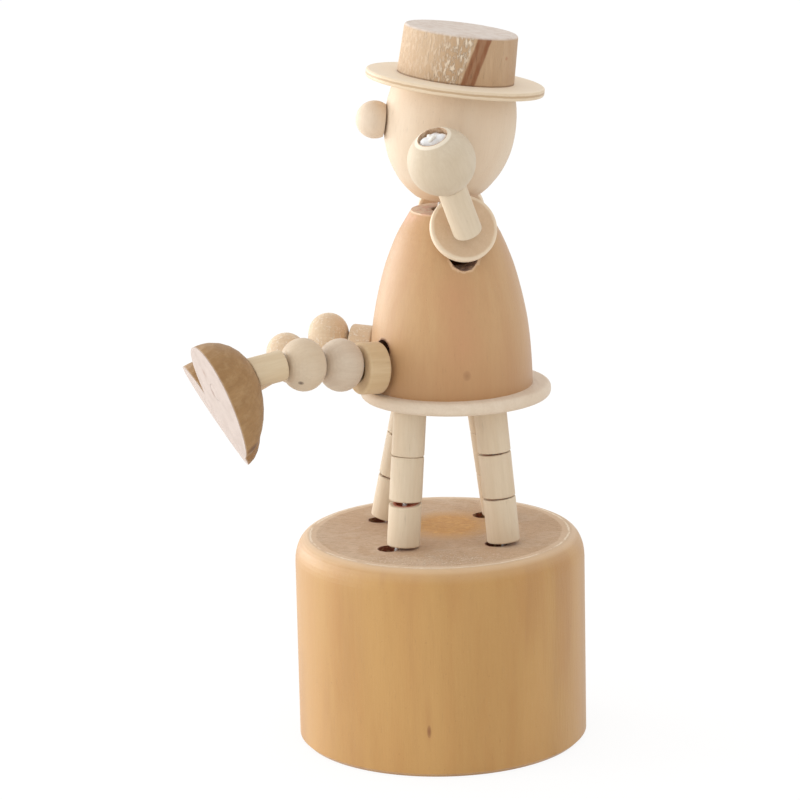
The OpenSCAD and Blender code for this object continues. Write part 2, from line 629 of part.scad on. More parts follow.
// a stool bead rocks forward on its front rim or back on its rear rim, in turn up the leg
rim_r = stool_bead_d / 2 - stool_bead_edge;
function bead_rim(c, k, way) = let (f = bead_frame(c, k), d = axis_of(f, 2),
    w = unit([0, way, 0] - way * d[1] * d)) place(f, [0, 0, 0]) + rim_r * w;
for (c = corners) echo(stool = c, foot = bead_rim(c, 0, -1), middle = bead_rim(c, 1, -c[1]),
    top = bead_rim(c, 2, c[1]), seat = bead_rim(c, 3, 1));
echo(torso = torso_foot - [0, torso_d / 2, 0], neck = place(head_frame, [0, 0, -neck_gap]),
    head = place(head_frame, [0, 0, 0]), head_axis = head_up);
for (s = [1, -1]) {
    echo(side = s, washer = place(washer_frame(s), [0, -washer_d / 2, 0]), axis = axis_of(washer_frame(s), 0));
    echo(side = s, arm = place(arm_frame(s), [0, arm_d / 2 - slim_bead_edge, 0]),
        hand = place(hand_frame(s), [0, slim_bead_edge - arm_d / 2, 0]), axis = axis_of(arm_frame(s), 0),
        tilt = arm_tilt(s));
    echo(side = s, legs = [for (k = [0 : 4]) leg_hinge(s, k)],
        axes = [for (k = [0 : 4]) axis_of(leg_piece(s, k), 0)]);
}

base_drum();
button();
return_spring();
stool_bead([1, -1], 0);  // stool_front_left_foot
stool_bead([1, -1], 1);  // stool_front_left_middle
stool_bead([1, -1], 2);  // stool_front_left_top
stool_bead([-1, -1], 0);  // stool_front_right_foot
stool_bead([-1, -1], 1);  // stool_front_right_middle
stool_bead([-1, -1], 2);  // stool_front_right_top
stool_bead([1, 1], 0);  // stool_rear_left_foot
stool_bead([1, 1], 1);  // stool_rear_left_middle
stool_bead([1, 1], 2);  // stool_rear_left_top
stool_bead([-1, 1], 0);  // stool_rear_right_foot
stool_bead([-1, 1], 1);  // stool_rear_right_middle
stool_bead([-1, 1], 2);  // stool_rear_right_top
seat_disc();
torso();
thigh(1);  // thigh_left
round_bead(1, 1);  // upper_bead_left
round_bead(1, 2);  // knee_bead_left
shin(1);  // shin_left
shoe(1);  // shoe_left
thigh(-1);  // thigh_right
round_bead(-1, 1);  // upper_bead_right
round_bead(-1, 2);  // knee_bead_right
shin(-1);  // shin_right
shoe(-1);  // shoe_right
washer(1);  // washer_left
arm(1);  // arm_left
hand(1);  // hand_left
washer(-1);  // washer_right
arm(-1);  // arm_right
hand(-1);  // hand_right
neck_string();
head();
nose();
hat_brim();
hat_crown();
leg_string(1);  // leg_string_left
leg_string(-1);  // leg_string_right
arm_string(1);  // arm_string_left
arm_string(-1);  // arm_string_right
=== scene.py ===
# Wooden push puppet on a bead stool and a turned drum. The figure faces -Y, and lengths are in
# millimetres on the part's own axes unless a note says otherwise.
import json
import math

import bpy
from mathutils import Matrix, Vector

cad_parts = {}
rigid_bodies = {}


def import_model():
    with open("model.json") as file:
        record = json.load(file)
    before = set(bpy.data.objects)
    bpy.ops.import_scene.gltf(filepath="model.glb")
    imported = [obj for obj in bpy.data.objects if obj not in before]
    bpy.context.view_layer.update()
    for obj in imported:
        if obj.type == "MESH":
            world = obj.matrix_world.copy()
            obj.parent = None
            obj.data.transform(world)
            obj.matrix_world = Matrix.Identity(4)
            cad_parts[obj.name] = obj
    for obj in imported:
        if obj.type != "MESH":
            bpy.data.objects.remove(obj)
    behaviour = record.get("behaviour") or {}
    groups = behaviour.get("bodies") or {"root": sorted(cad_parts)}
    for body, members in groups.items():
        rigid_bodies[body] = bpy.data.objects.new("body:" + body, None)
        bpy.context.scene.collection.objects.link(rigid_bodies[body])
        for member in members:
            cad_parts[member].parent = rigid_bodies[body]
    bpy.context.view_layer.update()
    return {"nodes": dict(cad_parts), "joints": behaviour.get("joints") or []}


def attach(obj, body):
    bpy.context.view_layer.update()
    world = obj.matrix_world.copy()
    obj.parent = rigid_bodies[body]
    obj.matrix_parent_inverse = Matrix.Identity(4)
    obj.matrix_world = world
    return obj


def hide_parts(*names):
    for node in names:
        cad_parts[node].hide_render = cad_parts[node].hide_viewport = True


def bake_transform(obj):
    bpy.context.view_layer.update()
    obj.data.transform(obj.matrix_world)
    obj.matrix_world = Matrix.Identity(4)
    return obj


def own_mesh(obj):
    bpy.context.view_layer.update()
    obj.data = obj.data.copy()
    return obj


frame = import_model()
print("frame loaded,", len(frame["nodes"]), "nodes")

metre = 1000
fullTurn = 2 * math.pi
sides = ("left", "right")

# camera, lamps and floor, in metres

view = {
    "place": (0.58081, -0.05712, 0.20136),
    "target": (0.0, -0.00631, 0.05966),
    "roll": -1.30,
    "lens": 157.92,
    "sensor": 36.0,
    "nearest": 0.01,
}
light = {
    "worldStrength": 0.98,
    "keyPlace": (0.02, -0.80, 0.20),
    "keySize": 0.5,
    "keyPower": 2.3,
    "rimPlace": (-0.50, -0.62, 0.09),
    "rimSize": 0.5,
    "rimPower": 4.0,
}
floorLook = {"size": 6.0, "colour": (246, 245, 243), "glow": 0.85, "level": 1.03}
screenCurve = {"white": 255, "knee": 0.04045, "slope": 12.92, "lift": 0.055, "power": 2.4}


def unscreened(share):
    if share <= screenCurve["knee"]:
        return share / screenCurve["slope"]
    return ((share + screenCurve["lift"]) / (1 + screenCurve["lift"])) ** screenCurve["power"]


def linear(colour):  # from a screen colour, 0 to 255, to what the sockets take
    return (*(unscreened(v / screenCurve["white"]) for v in colour), 1.0)


def aim(thing, place, target, roll=0.0):
    back = (Vector(place) - Vector(target)).normalized()
    side = Vector((0, 0, 1)).cross(back).normalized()
    top = back.cross(side)
    turn = math.radians(roll)
    across = side * math.cos(turn) + top * math.sin(turn)
    above = top * math.cos(turn) - side * math.sin(turn)
    rows = Matrix((across, above, back)).transposed().to_4x4()
    thing.matrix_world = Matrix.Translation(place) @ rows


def addCamera():
    bpy.ops.object.camera_add()
    camera = bpy.context.object
    camera.name = "photoCamera"
    camera.data.lens = view["lens"]
    camera.data.sensor_width = view["sensor"]
    camera.data.clip_start = view["nearest"]
    aim(camera, view["place"], view["target"], view["roll"])
    bpy.context.scene.camera = camera


def addLamp(name):
    bpy.ops.object.light_add(type="AREA")
    lamp = bpy.context.object
    lamp.name = name + "Lamp"
    lamp.data.shape = "DISK"
    lamp.data.size = light[name + "Size"]
    lamp.data.energy = light[name + "Power"]
    aim(lamp, light[name + "Place"], view["target"])


addCamera()
for name in ("key", "rim"):
    addLamp(name)
bpy.context.scene.view_settings.view_transform = "Standard"
print("camera and lamps set")

# shader sums written as plain expressions

sheenDull = 0.6


class Wire:
    def __init__(self, finish, socket):
        self.finish = finish
        self.socket = socket

    def sum(self, operation, first, second, clamp=False):
        settings = {"operation": operation, "use_clamp": clamp}
        return self.finish.make("Math", settings, {0: first, 1: second})

    def __add__(self, other):
        return self.sum("ADD", self, other)

    def __radd__(self, other):
        return self.sum("ADD", other, self)

    def __sub__(self, other):
        return self.sum("SUBTRACT", self, other)

    def __rsub__(self, other):
        return self.sum("SUBTRACT", other, self)

    def __mul__(self, other):
        return self.sum("MULTIPLY", self, other)

    def __rmul__(self, other):
        return self.sum("MULTIPLY", other, self)

    def __truediv__(self, other):
        return self.sum("DIVIDE", self, other)

    def __pow__(self, other):
        return self.sum("POWER", self, other)

    def __abs__(self):
        return self.sum("ABSOLUTE", self, 0.0)

    def clamped(self):
        return self.sum("ADD", self, 0.0, clamp=True)

    def fraction(self):
        return self.sum("FRACT", self, 0.0)

    def step(self, low, high):  # 0 below low, 1 above high, smooth between
        values = {"Value": self, "From Min": low, "From Max": high}
        return self.finish.make("MapRange", {"interpolation_type": "SMOOTHSTEP"}, values)

    def fall(self, low, high):
        return 1 - self.step(low, high)

    def waved(self, point, noise, reach):  # an even edge made uneven
        return self + point.noise(*noise) * reach

    # for a point, which holds three numbers

    def vector(self, operation, other=(0, 0, 0), output=0):
        settings = {"operation": operation}
        return self.finish.make("VectorMath", settings, {0: self, 1: other}, output)

    def scaled(self, shares):
        return self.vector("MULTIPLY", shares)

    def moved(self, place):  # seen from a place
        return self.vector("SUBTRACT", place)

    def length(self):
        return self.vector("LENGTH", output="Value")

    def fromAxis(self):
        return self.scaled((1, 1, 0)).length()

    def split(self):
        node = self.finish.make("SeparateXYZ", {}, {0: self}).socket.node
        return [Wire(self.finish, socket) for socket in node.outputs]

    def noise(self, scale, detail, roughness=0.55, distortion=0.0):
        values = {"Vector": self, "Scale": scale, "Detail": detail, "Roughness": roughness}
        return self.finish.make("TexNoise", {}, {**values, "Distortion": distortion})

    def patches(self, noise, limits):  # the high places of a noise
        return self.noise(*noise).step(*limits)

    def spot(self, place, reach):  # 1 at a place, fading to 0 at its reach
        return (1 - self.moved(place).vector("DIVIDE", reach).length()).clamped()


class Finish:
    def __init__(self, name):
        self.material = bpy.data.materials.new(name)
        self.material.use_nodes = True
        self.tree = self.material.node_tree
        self.tree.nodes.clear()

    def make(self, kind, settings, values, output=0):
        node = self.tree.nodes.new("ShaderNode" + kind)
        for key, value in settings.items():
            setattr(node, key, value)
        for key, value in values.items():
            if isinstance(value, Wire):
                self.tree.links.new(value.socket, node.inputs[key])
            else:
                node.inputs[key].default_value = value
        return Wire(self, node.outputs[output] if len(node.outputs) else None)

    def mix(self, mask, first, second):  # by the numbers of the sockets that hold colours
        settings = {"data_type": "RGBA"}
        return self.make("Mix", settings, {0: mask, 6: first, 7: second}, 2)

    def stain(self, colour, mask, tint):  # a tint is a screen colour, then its strength
        return self.mix(mask * tint[3], colour, linear(tint[:3]))

    def above(self, colour, value, limits, tint):
        return self.stain(colour, value.step(*limits), tint)

    def below(self, colour, value, limits, tint):
        return self.stain(colour, value.fall(*limits), tint)

    def clouded(self, colour, point, noise, limits, tint):
        return self.above(colour, point.noise(*noise), limits, tint)

    def mark(self, colour, point, place, reach, power, tint):
        return self.stain(colour, point.spot(place, reach) ** power, tint)

    def paint(self, colour, roughness, height, look):
        bump = self.bump(height, look["bump"])
        values = {"Base Color": colour, "Roughness": roughness, "Normal": bump}
        values["Specular IOR Level"] = look["specular"]
        values["Sheen Weight"] = look["sheen"]
        values["Sheen Roughness"] = sheenDull
        return self.close(self.make("BsdfPrincipled", {}, values))

    def bump(self, height, depth):
        return self.make("Bump", {}, {"Height": height, "Distance": depth})

    def close(self, shader):
        self.make("OutputMaterial", {}, {"Surface": shader})
        return self.material


# wood: on a piece's own axes, with z along its fibres; bump depths are in metres

woodBase = {
    "tints": ((216, 198, 172), (198, 176, 146), (208, 184, 154)),  # pale, deep and blush
    "ringGap": 2.6,
    "pith": (9.0, 4.0),
    "rings": 0.2,
    "fibre": 0.28,
    "blotch": 0.45,
    "pores": 0.2,
    "fleck": 0.0,
    "pull": 0.16,
    "dull": 0.56,
    "bump": 0.00003,
    "specular": 0.35,
    "sheen": 0.1,
}
grain = {  # a mask is a noise's scale, detail and roughness, then where it starts and is full
    "waver": ((0.22, 2.0), 5.0),
    "ringRise": (0.3, 0.85),
    "ringFall": (0.85, 1.0),
    "finePull": 0.45,
    "fibre": ((2.6, 5.0, 0.65), (0.35, 0.68)),
    "blotch": ((0.16, 3.0, 0.6, 0.4), (0.38, 0.64)),
    "pores": ((6.5, 2.0, 0.5), (0.66, 0.76)),
    "fleck": ((2.2, 3.0, 0.6), (0.54, 0.66)),
    "poreShade": 0.72,
    "fleckShine": 0.6,
    "fibreHeight": 0.35,
    "poreDepth": 0.8,
    "fleckHeight": 2.0,
    "blotchDull": 0.08,
}


def turnedPoint(finish, place, turn):
    point = finish.make("TexCoord", {}, {}, "Object")
    values = {"Vector": point, "Location": [v / metre for v in place], "Rotation": turn}
    values["Scale"] = [1 / metre] * 3
    return finish.make("Mapping", {"vector_type": "TEXTURE"}, values)


def partPoint(finish):  # the part's own axes
    return turnedPoint(finish, (0, 0, 0), (0, 0, 0))


def ownPoint(finish, place, along, twist):  # z along a piece; upright, x and y are reversed
    turn = Vector(along).to_track_quat("Z", "Y").to_matrix() @ Matrix.Rotation(twist, 3, "Z")
    return turnedPoint(finish, place, turn.to_euler())


def woodGrain(finish, point, look):
    pale, deep, blush = look["tints"]
    pulled = point.scaled((1.0, 1.0, look["pull"]))
    across, inward = (v + far for v, far in zip(pulled.split(), look["pith"]))
    radius = (across * across + inward * inward) ** 0.5
    radius = radius.waved(pulled, *grain["waver"])
    ring = (radius / look["ringGap"]).fraction()
    late = ring.step(*grain["ringRise"]) * ring.fall(*grain["ringFall"])
    fine = point.scaled((1.0, 1.0, look["pull"] * grain["finePull"]))
    fibre = fine.patches(*grain["fibre"])
    blotch = pulled.patches(*grain["blotch"])
    pores = fine.patches(*grain["pores"])
    fleck = point.patches(*grain["fleck"]) * look["fleck"]
    poreColour = [v * grain["poreShade"] for v in deep]
    fleckColour = [v + (screenCurve["white"] - v) * grain["fleckShine"] for v in pale]
    colour = finish.mix(late * look["rings"], linear(pale), linear(deep))
    colour = finish.stain(colour, blotch, (*blush, look["blotch"]))
    colour = finish.stain(colour, fibre, (*deep, look["fibre"]))
    colour = finish.stain(colour, pores, (*poreColour, look["pores"]))
    if look["fleck"]:
        colour = finish.mix(fleck, colour, linear(fleckColour))
    height = fibre * grain["fibreHeight"] - pores * grain["poreDepth"]
    return colour, height + fleck * grain["fleckHeight"], blotch


def woodFinish(name, place, along, twist, marks=None, **changes):
    look = {**woodBase, **changes}
    finish = Finish(name)
    point = ownPoint(finish, place, along, twist)
    colour, height, blotch = woodGrain(finish, point, look)
    dull = look["dull"] + blotch * grain["blotchDull"]
    if marks:
        colour, height, dull = marks(finish, point, colour, height, dull)
    return finish.paint(colour, dull, height, look)


def dress(node, material):
    for slot in frame["nodes"][node].material_slots:
        slot.material = material


# the drum: smooth turned side, sawn top, four holes with a red-brown stain and painted shade in
# them

drumLook = {
    "tints": ((186, 141, 78), (164, 117, 56), (178, 127, 66)),
    "ringGap": 9.0,
    "pith": (16, -9),
    "rings": 0.16,
    "fibre": 0.12,
    "blotch": 0.6,
    "pores": 0.08,
    "dull": 0.47,
    "bump": 0.00007,
    "specular": 0.5,
    "sheen": 0.14,
}
drumClouds = [  # stretch, noise, limits and tint of bands, shades, scratches and dots
    ((1.0, 1.0, 0.14), (0.11, 2.0, 0.45), (0.4, 0.66), (200, 155, 92, 0.4)),
    ((1.0, 1.0, 0.14), (0.19, 2.0, 0.45, 0.3), (0.5, 0.74), (164, 116, 66, 0.35)),
    ((1.0, 1.6, 0.5), (5.5, 2.0, 0.5, 3.0), (0.66, 0.72), (232, 200, 156, 0.22)),
    ((1.0, 1.0, 1.0), (1.9, 2.0, 0.5), (0.7, 0.76), (140, 92, 48, 0.25)),
]
drumMarks = [  # place, reach, power and tint of a streak and the speck in it
    ((24.5, -4.9, 10.2), (2.4, 0.9, 6.0), 1.0, (164, 108, 56, 0.3)),
    ((24.5, -4.8, 8.2), (1.4, 0.4, 1.2), 0.5, (128, 74, 34, 0.85)),
]
drum = {
    "dry": ((33.4, 35.5), (204, 170, 132, 0.35)),
    "topFrom": (35.9, 35.98),
    "topDull": 0.3,
    "sideRelief": 0.4,
    "rim": (224, 196, 162, 0.5),
    "rimWaver": ((0.35, 3.0), 0.9),
    "rimReach": (21.45, 21.8),
    "rimFrom": (35.0, 35.9),
    "line": (236, 218, 194, 0.9),
    "lineWaver": ((0.8, 4.0, 0.7), 0.7),
    "lineRadius": 22.7,
    "lineFade": (0.06, 0.24),
    "lineFrom": (35.0, 35.8),
    "lineBreaks": ((0.3, 2.0), (0.34, 0.5)),
    "holes": [(9.2, -9.6, 0), (-9.2, -9.6, 0), (9.2, 8.8, 0), (-9.2, 8.8, 0)],
    # the holes' colour: a red-brown stain and painted shade in one dark tint
    "hole": (132, 66, 38, 1.0),
    "holeWaver": ((1.6, 2.0), 0.7),
    "holeFade": (2.18, 2.4),
    "holeFrom": (27.0, 33.0),
}
sawn = {
    "colour": (188, 152, 113),
    "strokes": (1.6, 0.45, 1.0),
    "noise": (1.5, 6.0, 0.72, 0.5),
    "relief": 2.0,
    "grey": ((0.12, 4.0, 0.62, 0.6), (0.4, 0.62), (199, 170, 138, 0.85)),
    "dark": ((0.45, 0.68), (158, 120, 82, 0.6)),
    "pale": ((2.6, 4.0, 0.7, 0.4), (0.55, 0.68), (224, 196, 162, 0.4)),
    "gold": (198, 138, 48),
    "goldLight": (228, 180, 92),
    "goldPlace": ((-4.0, 2.0, 36.0), (10.5, 9.0, 4.0)),
    "goldGain": 2.0,
    "goldGrain": 0.5,
    "goldLess": 0.3,
    "goldStrength": 0.95,
    "goldFrom": (0.42, 0.72),
    "crumb": (236, 218, 194, 1.0),
    "crumbs": ((2.9, 3.0, 0.7), (0.55, 0.66)),
    "crumbPlace": ((17.5, -3.0, 36.0), (6.5, 17.0, 6.0)),
    "crumbGain": 1.6,
    "crumbRelief": 0.25,
}


def sawnTop(finish, point):
    strokes = point.scaled(sawn["strokes"])
    rough = strokes.noise(*sawn["noise"])
    crumbs = point.patches(*sawn["crumbs"])
    colour = finish.clouded(linear(sawn["colour"]), point, *sawn["grey"])
    colour = finish.above(colour, rough, *sawn["dark"])
    colour = finish.clouded(colour, strokes, *sawn["pale"])
    gold = point.spot(*sawn["goldPlace"]) * sawn["goldGain"] + rough * sawn["goldGrain"]
    gold = (gold - sawn["goldLess"]).clamped()
    streak = rough.step(*sawn["goldFrom"])
    goldColour = finish.mix(streak, linear(sawn["gold"]), linear(sawn["goldLight"]))
    colour = finish.mix(gold * sawn["goldStrength"], colour, goldColour)
    nearRim = point.spot(*sawn["crumbPlace"]) * sawn["crumbGain"]
    colour = finish.stain(colour, (crumbs * nearRim).clamped(), sawn["crumb"])
    return colour, rough * sawn["relief"] + crumbs * (nearRim + sawn["crumbRelief"])


def drumFinish():
    look = {**woodBase, **drumLook}
    finish = Finish("drumWood")
    point = partPoint(finish)
    z = point.split()[2]
    colour, height, blotch = woodGrain(finish, point, look)
    for stretch, *cloud in drumClouds:
        colour = finish.clouded(colour, point.scaled(stretch), *cloud)
    for mark in drumMarks:
        colour = finish.mark(colour, point, *mark)
    colour = finish.above(colour, z, *drum["dry"])
    top = z.step(*drum["topFrom"])
    topColour, rough = sawnTop(finish, point)
    colour = finish.mix(top, colour, topColour)

    reach = point.fromAxis()
    rim = reach.waved(point, *drum["rimWaver"]).step(*drum["rimReach"])
    colour = finish.stain(colour, rim * z.step(*drum["rimFrom"]), drum["rim"])
    offset = abs(reach.waved(point, *drum["lineWaver"]) - drum["lineRadius"])
    line = offset.fall(*drum["lineFade"]) * z.step(*drum["lineFrom"])
    line = line * point.patches(*drum["lineBreaks"])
    colour = finish.stain(colour, line, drum["line"])

    # round and down each hole: red-brown stain and painted shade, darkest at the top of the
    # walls
    away = [point.moved(place).fromAxis() for place in drum["holes"]]
    away = [distance.waved(point, *drum["holeWaver"]) for distance in away]
    near = sum(distance.fall(*drum["holeFade"]) for distance in away).clamped()
    colour = finish.stain(colour, near * z.step(*drum["holeFrom"]), drum["hole"])
    height = height * drum["sideRelief"] * (1 - top) + rough * top
    return finish.paint(colour, look["dull"] + top * drum["topDull"], height, look)


dress("base_drum", drumFinish())

# each bead stands on its lower face at a place, along an axis

stoolLegs = {  # axis, then the places of the foot, middle and top bead
    "front_left": [(-0.078, 0.078, 0.994), (9.0, -7.1, 36.36), (8.39, -6.49, 44.11)]
    + [(7.78, -5.88, 51.86)],
    "front_right": [(0.077, 0.199, 0.977), (-9.0, -8.3, 36.65), (-8.4, -6.75, 44.27)]
    + [(-7.8, -5.2, 51.89)],
    "rear_left": [(-0.078, -0.078, 0.994), (9.0, 10.1, 36.36), (8.39, 9.49, 44.11)]
    + [(7.78, 8.88, 51.86)],
    "rear_right": [(0.078, -0.13, 0.988), (-9.0, 11.3, 36.47), (-8.39, 10.28, 44.18)]
    + [(-7.79, 9.27, 51.89)],
}
legBeads = ("foot", "middle", "top")
beads = {}
for leg, (along, *places) in stoolLegs.items():
    for bead, place in zip(legBeads, places):
        beads[f"stool_{leg}_{bead}"] = (place, along)
beads |= {
    "thigh_left": ((6.22, -10.16, 66.96), (0.405, -0.91, 0.087)),
    "upper_bead_left": ((7.87, -13.85, 68.03), (0.405, -0.909, 0.105)),
    "knee_bead_left": ((10.73, -20.27, 69.39), (0.407, -0.914, 0.0)),
    "shin_left": ((13.67, -26.91, 69.83), (0.372, -0.92, -0.122)),
    "shoe_left": ((15.72, -32.17, 69.06), (0.273, -0.893, -0.358)),
    "thigh_right": ((-6.22, -10.16, 66.96), (-0.258, -0.962, 0.087)),
    "upper_bead_right": ((-7.33, -14.3, 69.13), (-0.174, -0.985, 0.0)),
    "knee_bead_right": ((-8.51, -21.48, 67.27), (-0.048, -0.912, -0.407)),
    "shin_right": ((-8.72, -27.98, 64.17), (0.062, -0.881, -0.469)),
    "shoe_right": ((-8.25, -32.64, 61.68), (0.165, -0.85, -0.5)),
    "washer_left": ((8.82, 4.0, 90.56), (0.895, 0.142, 0.423)),
    "arm_left": ((12.33, 4.55, 90.78), (0.36, -0.32, 0.876)),
    "hand_left": ((15.8, 1.46, 99.24), (0.36, -0.32, 0.876)),
}


def mirrored(spots):  # the right arm mirrors the left
    return [(-x, *others) for x, *others in spots]


for part in ("washer", "arm", "hand"):
    beads[part + "_right"] = mirrored(beads[part + "_left"])
beadTints = {  # of one bead, of a kind of bead, or of a side
    "stool": ((216, 198, 172), (200, 178, 148), (208, 185, 155)),
    "thigh_left": ((209, 182, 143), (190, 158, 115), (200, 169, 127)),
    "upper_bead_left": ((208, 190, 168), (188, 166, 142), (198, 176, 154)),
    "knee_bead_left": ((212, 193, 168), (196, 172, 142), (204, 182, 152)),
    "shin_left": ((216, 196, 164), (200, 174, 138), (210, 186, 150)),
    "right": ((221, 198, 167), (199, 172, 138), (209, 179, 147)),
    "washer": ((211, 183, 151), (195, 165, 130), (205, 173, 140)),
    "arm": ((218, 201, 176), (200, 180, 150), (210, 190, 160)),
    "hand": ((210, 194, 170), (194, 175, 148), (202, 183, 156)),
    "shoe": ((163, 126, 81), (131, 94, 54), (145, 107, 63)),
}
beadGrain = {  # first value, step and after how many beads it starts again
    "ringGap": (1.9, 0.13, 5),
    "across": (5.0, 1.7, 4),
    "deep": (-3.0, 1.9, 5),
    "twist": 1.3,
    "rightFleck": 0.5,
}
bore = {
    "waver": ((1.5, 2.0), 0.5),
    "stain": ((2.25, 2.55), (214, 112, 66, 0.9)),
}
shoe = {
    "mottle": ((0.7, 4.0, 0.65), (0.45, 0.68), (180, 147, 104, 0.35)),
    "waver": ((0.9, 3.0), 0.3),
    "edge": ((6.78, 7.1), (206, 178, 148, 0.6)),
    "tip": ((18.84, -32.36, 57.17), (1.5, 1.7, 1.0), 0.5, (92, 58, 34, 0.85)),
    "sole": (193, 178, 169),
    "soleFrom": (6.88, 6.96),
    "soleShade": ((0.4, 4.0, 0.6), (0.4, 0.65), (178, 162, 152, 0.5)),
    "dents": [(16.16, -38.72, 66.17), (16.26, -40.08, 69.65), (10.24, -38.79, 61.84)],
    "dent": ((0.9, 0.9, 1.3), 1.0, (158, 128, 112, 0.7)),
    "gritStretch": (2.0, 0.7, 1.0),
    "grit": (1.6, 4.0, 0.7),
    "soleDull": 0.2,
}
washer = {
    "waver": ((0.8, 2.0), 0.3),
    "rim": ((5.1, 5.5), (232, 214, 188, 0.8)),
}
hand = {
    "lip": (238, 226, 206, 0.8),
    "lipFade": (3.0, 3.25),
    "wallFade": (2.53, 2.62),
    "mouthFrom": (7.6, 8.2),
    "drilled": (216, 188, 156),
    "char": ((1.2, 3.0), (0.35, 0.65), (180, 144, 112, 1.0)),
}
kneeSpeck = ((15.67, -24.08, 67.11), (0.55, 0.55, 0.4), 0.5, (82, 56, 40, 0.9))


def boreMarks(finish, point, colour, height, dull):  # drilling leaves a red-brown stain
    reach = point.fromAxis().waved(point, *bore["waver"])
    return finish.below(colour, reach, *bore["stain"]), height, dull


def shoeMarks(finish, point, colour, height, dull):  # brown turned side, pale sawn sole
    z = point.split()[2]
    place = partPoint(finish)
    colour = finish.clouded(colour, point, *shoe["mottle"])
    colour = finish.above(colour, z.waved(point, *shoe["waver"]), *shoe["edge"])
    colour = finish.mark(colour, place, *shoe["tip"])
    pale = finish.clouded(linear(shoe["sole"]), point, *shoe["soleShade"])
    for dent in shoe["dents"]:
        pale = finish.mark(pale, place, dent, *shoe["dent"])
    grit = point.scaled(shoe["gritStretch"]).noise(*shoe["grit"])
    sole = z.step(*shoe["soleFrom"])
    height = height * (1 - sole) + grit * sole
    return finish.mix(sole, colour, pale), height, dull + sole * shoe["soleDull"]


def washerMarks(finish, point, colour, height, dull):  # paler round its bevelled rim
    reach = point.fromAxis().waved(point, *washer["waver"])
    return finish.above(colour, reach, *washer["rim"]), height, dull


def handMarks(finish, point, colour, height, dull):  # brown drilled recess with a pale lip
    high = point.split()[2].step(*hand["mouthFrom"])
    reach = point.fromAxis()
    colour = finish.stain(colour, reach.fall(*hand["lipFade"]) * high, hand["lip"])
    brown = finish.clouded(linear(hand["drilled"]), point, *hand["char"])
    wall = reach.fall(*hand["wallFade"]) * high
    return finish.mix(wall, colour, brown), height, dull


def kneeMarks(finish, point, colour, height, dull):
    return finish.mark(colour, partPoint(finish), *kneeSpeck), height, dull


def beadLook(node):
    for key in (node, node.split("_")[0], node.rsplit("_", 1)[-1]):
        if key in beadTints:
            fleck = beadGrain["rightFleck"] if key == "right" else woodBase["fleck"]
            return {"tints": beadTints[key], "fleck": fleck}


def varied(order, first, step, cycle):
    return first + step * (order % cycle)


marksOf = {"stool": boreMarks, "shoe": shoeMarks, "washer": washerMarks, "hand": handMarks}
beadWoods = {}
for order, (node, (place, along)) in enumerate(beads.items()):
    look = beadLook(node)
    look["ringGap"] = varied(order, *beadGrain["ringGap"])
    look["pith"] = [varied(order, *beadGrain[way]) for way in ("across", "deep")]
    look["marks"] = kneeMarks if node == "knee_bead_left" else marksOf.get(node.split("_")[0])
    first, *others = node.split("_")
    name = first + "".join(word.capitalize() for word in others) + "Wood"
    beadWoods[node] = woodFinish(name, place, along, order * beadGrain["twist"], **look)
    dress(node, beadWoods[node])
print("drum and beads dressed")

# stool beads sawn a little askew, so that dark wedges show between them

askew = {  # lean of the cut in degrees, and the heading it falls away to
    "stool_front_left_foot": (9.0, -38),
    "stool_front_left_middle": (2.0, 200),
    "stool_rear_left_foot": (2.6, -60),
    "stool_rear_left_middle": (3.0, -50),
    "stool_front_right_foot": (3.0, -90),
    "stool_front_right_middle": (3.0, 60),
}
stoolBead = {"length": 7.8, "radius": 2.8, "grow": 0.6, "short": 0.02}
saw = {"doubles": 0.002, "end": 0.4, "round": 0.22, "steps": 3, "sharp": 35}


def clearSelection():
    if bpy.context.object and bpy.context.object.mode != "OBJECT":
        bpy.ops.object.mode_set(mode="OBJECT")
    bpy.ops.object.select_all(action="DESELECT")


def smoothBelow(degrees):
    bpy.ops.object.shade_smooth_by_angle(angle=math.radians(degrees))


def coat(piece, material):
    piece.data.materials.clear()
    piece.data.materials.append(material)


def copyNode(node, name):  # the solid's mesh again, its doubles merged, open in edit mode
    clearSelection()
    solid = frame["nodes"][node]
    piece = solid.copy()
    piece.data = solid.data.copy()
    piece.name = name
    bpy.context.collection.objects.link(piece)
    bpy.context.view_layer.objects.active = piece
    piece.select_set(True)
    bpy.ops.object.mode_set(mode="EDIT")
    bpy.ops.mesh.select_all(action="SELECT")
    bpy.ops.mesh.remove_doubles(threshold=saw["doubles"] / metre)
    return piece


def lengthen(piece, place, axis, length, grow):  # the far end moves out along the bead
    bpy.ops.mesh.select_all(action="DESELECT")
    bpy.ops.object.mode_set(mode="OBJECT")
    for vertex in piece.data.vertices:
        vertex.select = (vertex.co * metre - place).dot(axis) > length - saw["end"]
    bpy.ops.object.mode_set(mode="EDIT")
    bpy.ops.transform.translate(value=axis * grow / metre)


def sawThrough(node, piece, pivot, normal, body):
    bpy.ops.mesh.select_all(action="SELECT")
    plane = {"plane_co": pivot / metre, "plane_no": normal}
    bpy.ops.mesh.bisect(use_fill=True, clear_outer=True, **plane)
    bpy.ops.mesh.region_to_loop()
    bpy.ops.mesh.bevel(offset=saw["round"] / metre, segments=saw["steps"], affect="EDGES")
    bpy.ops.object.mode_set(mode="OBJECT")
    smoothBelow(saw["sharp"])
    coat(piece, beadWoods[node])
    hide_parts(node)
    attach(piece, body)


def cutAskew(node, lean, heading):
    place, axis = (Vector(v) for v in beads[node])
    piece = copyNode(node, node + "_cut")
    lengthen(piece, place, axis, stoolBead["length"], stoolBead["grow"])
    turn = math.radians(heading)
    falls = Vector((math.cos(turn), math.sin(turn), 0))
    falls = (falls - falls.dot(axis) * axis).normalized()
    end = place + axis * (stoolBead["length"] - stoolBead["short"])
    normal = axis.copy()
    normal.rotate(Matrix.Rotation(math.radians(lean), 3, axis.cross(falls)))
    pivot = end - falls * stoolBead["radius"]
    sawThrough(node, piece, pivot, normal, node.replace("stool_", ""))


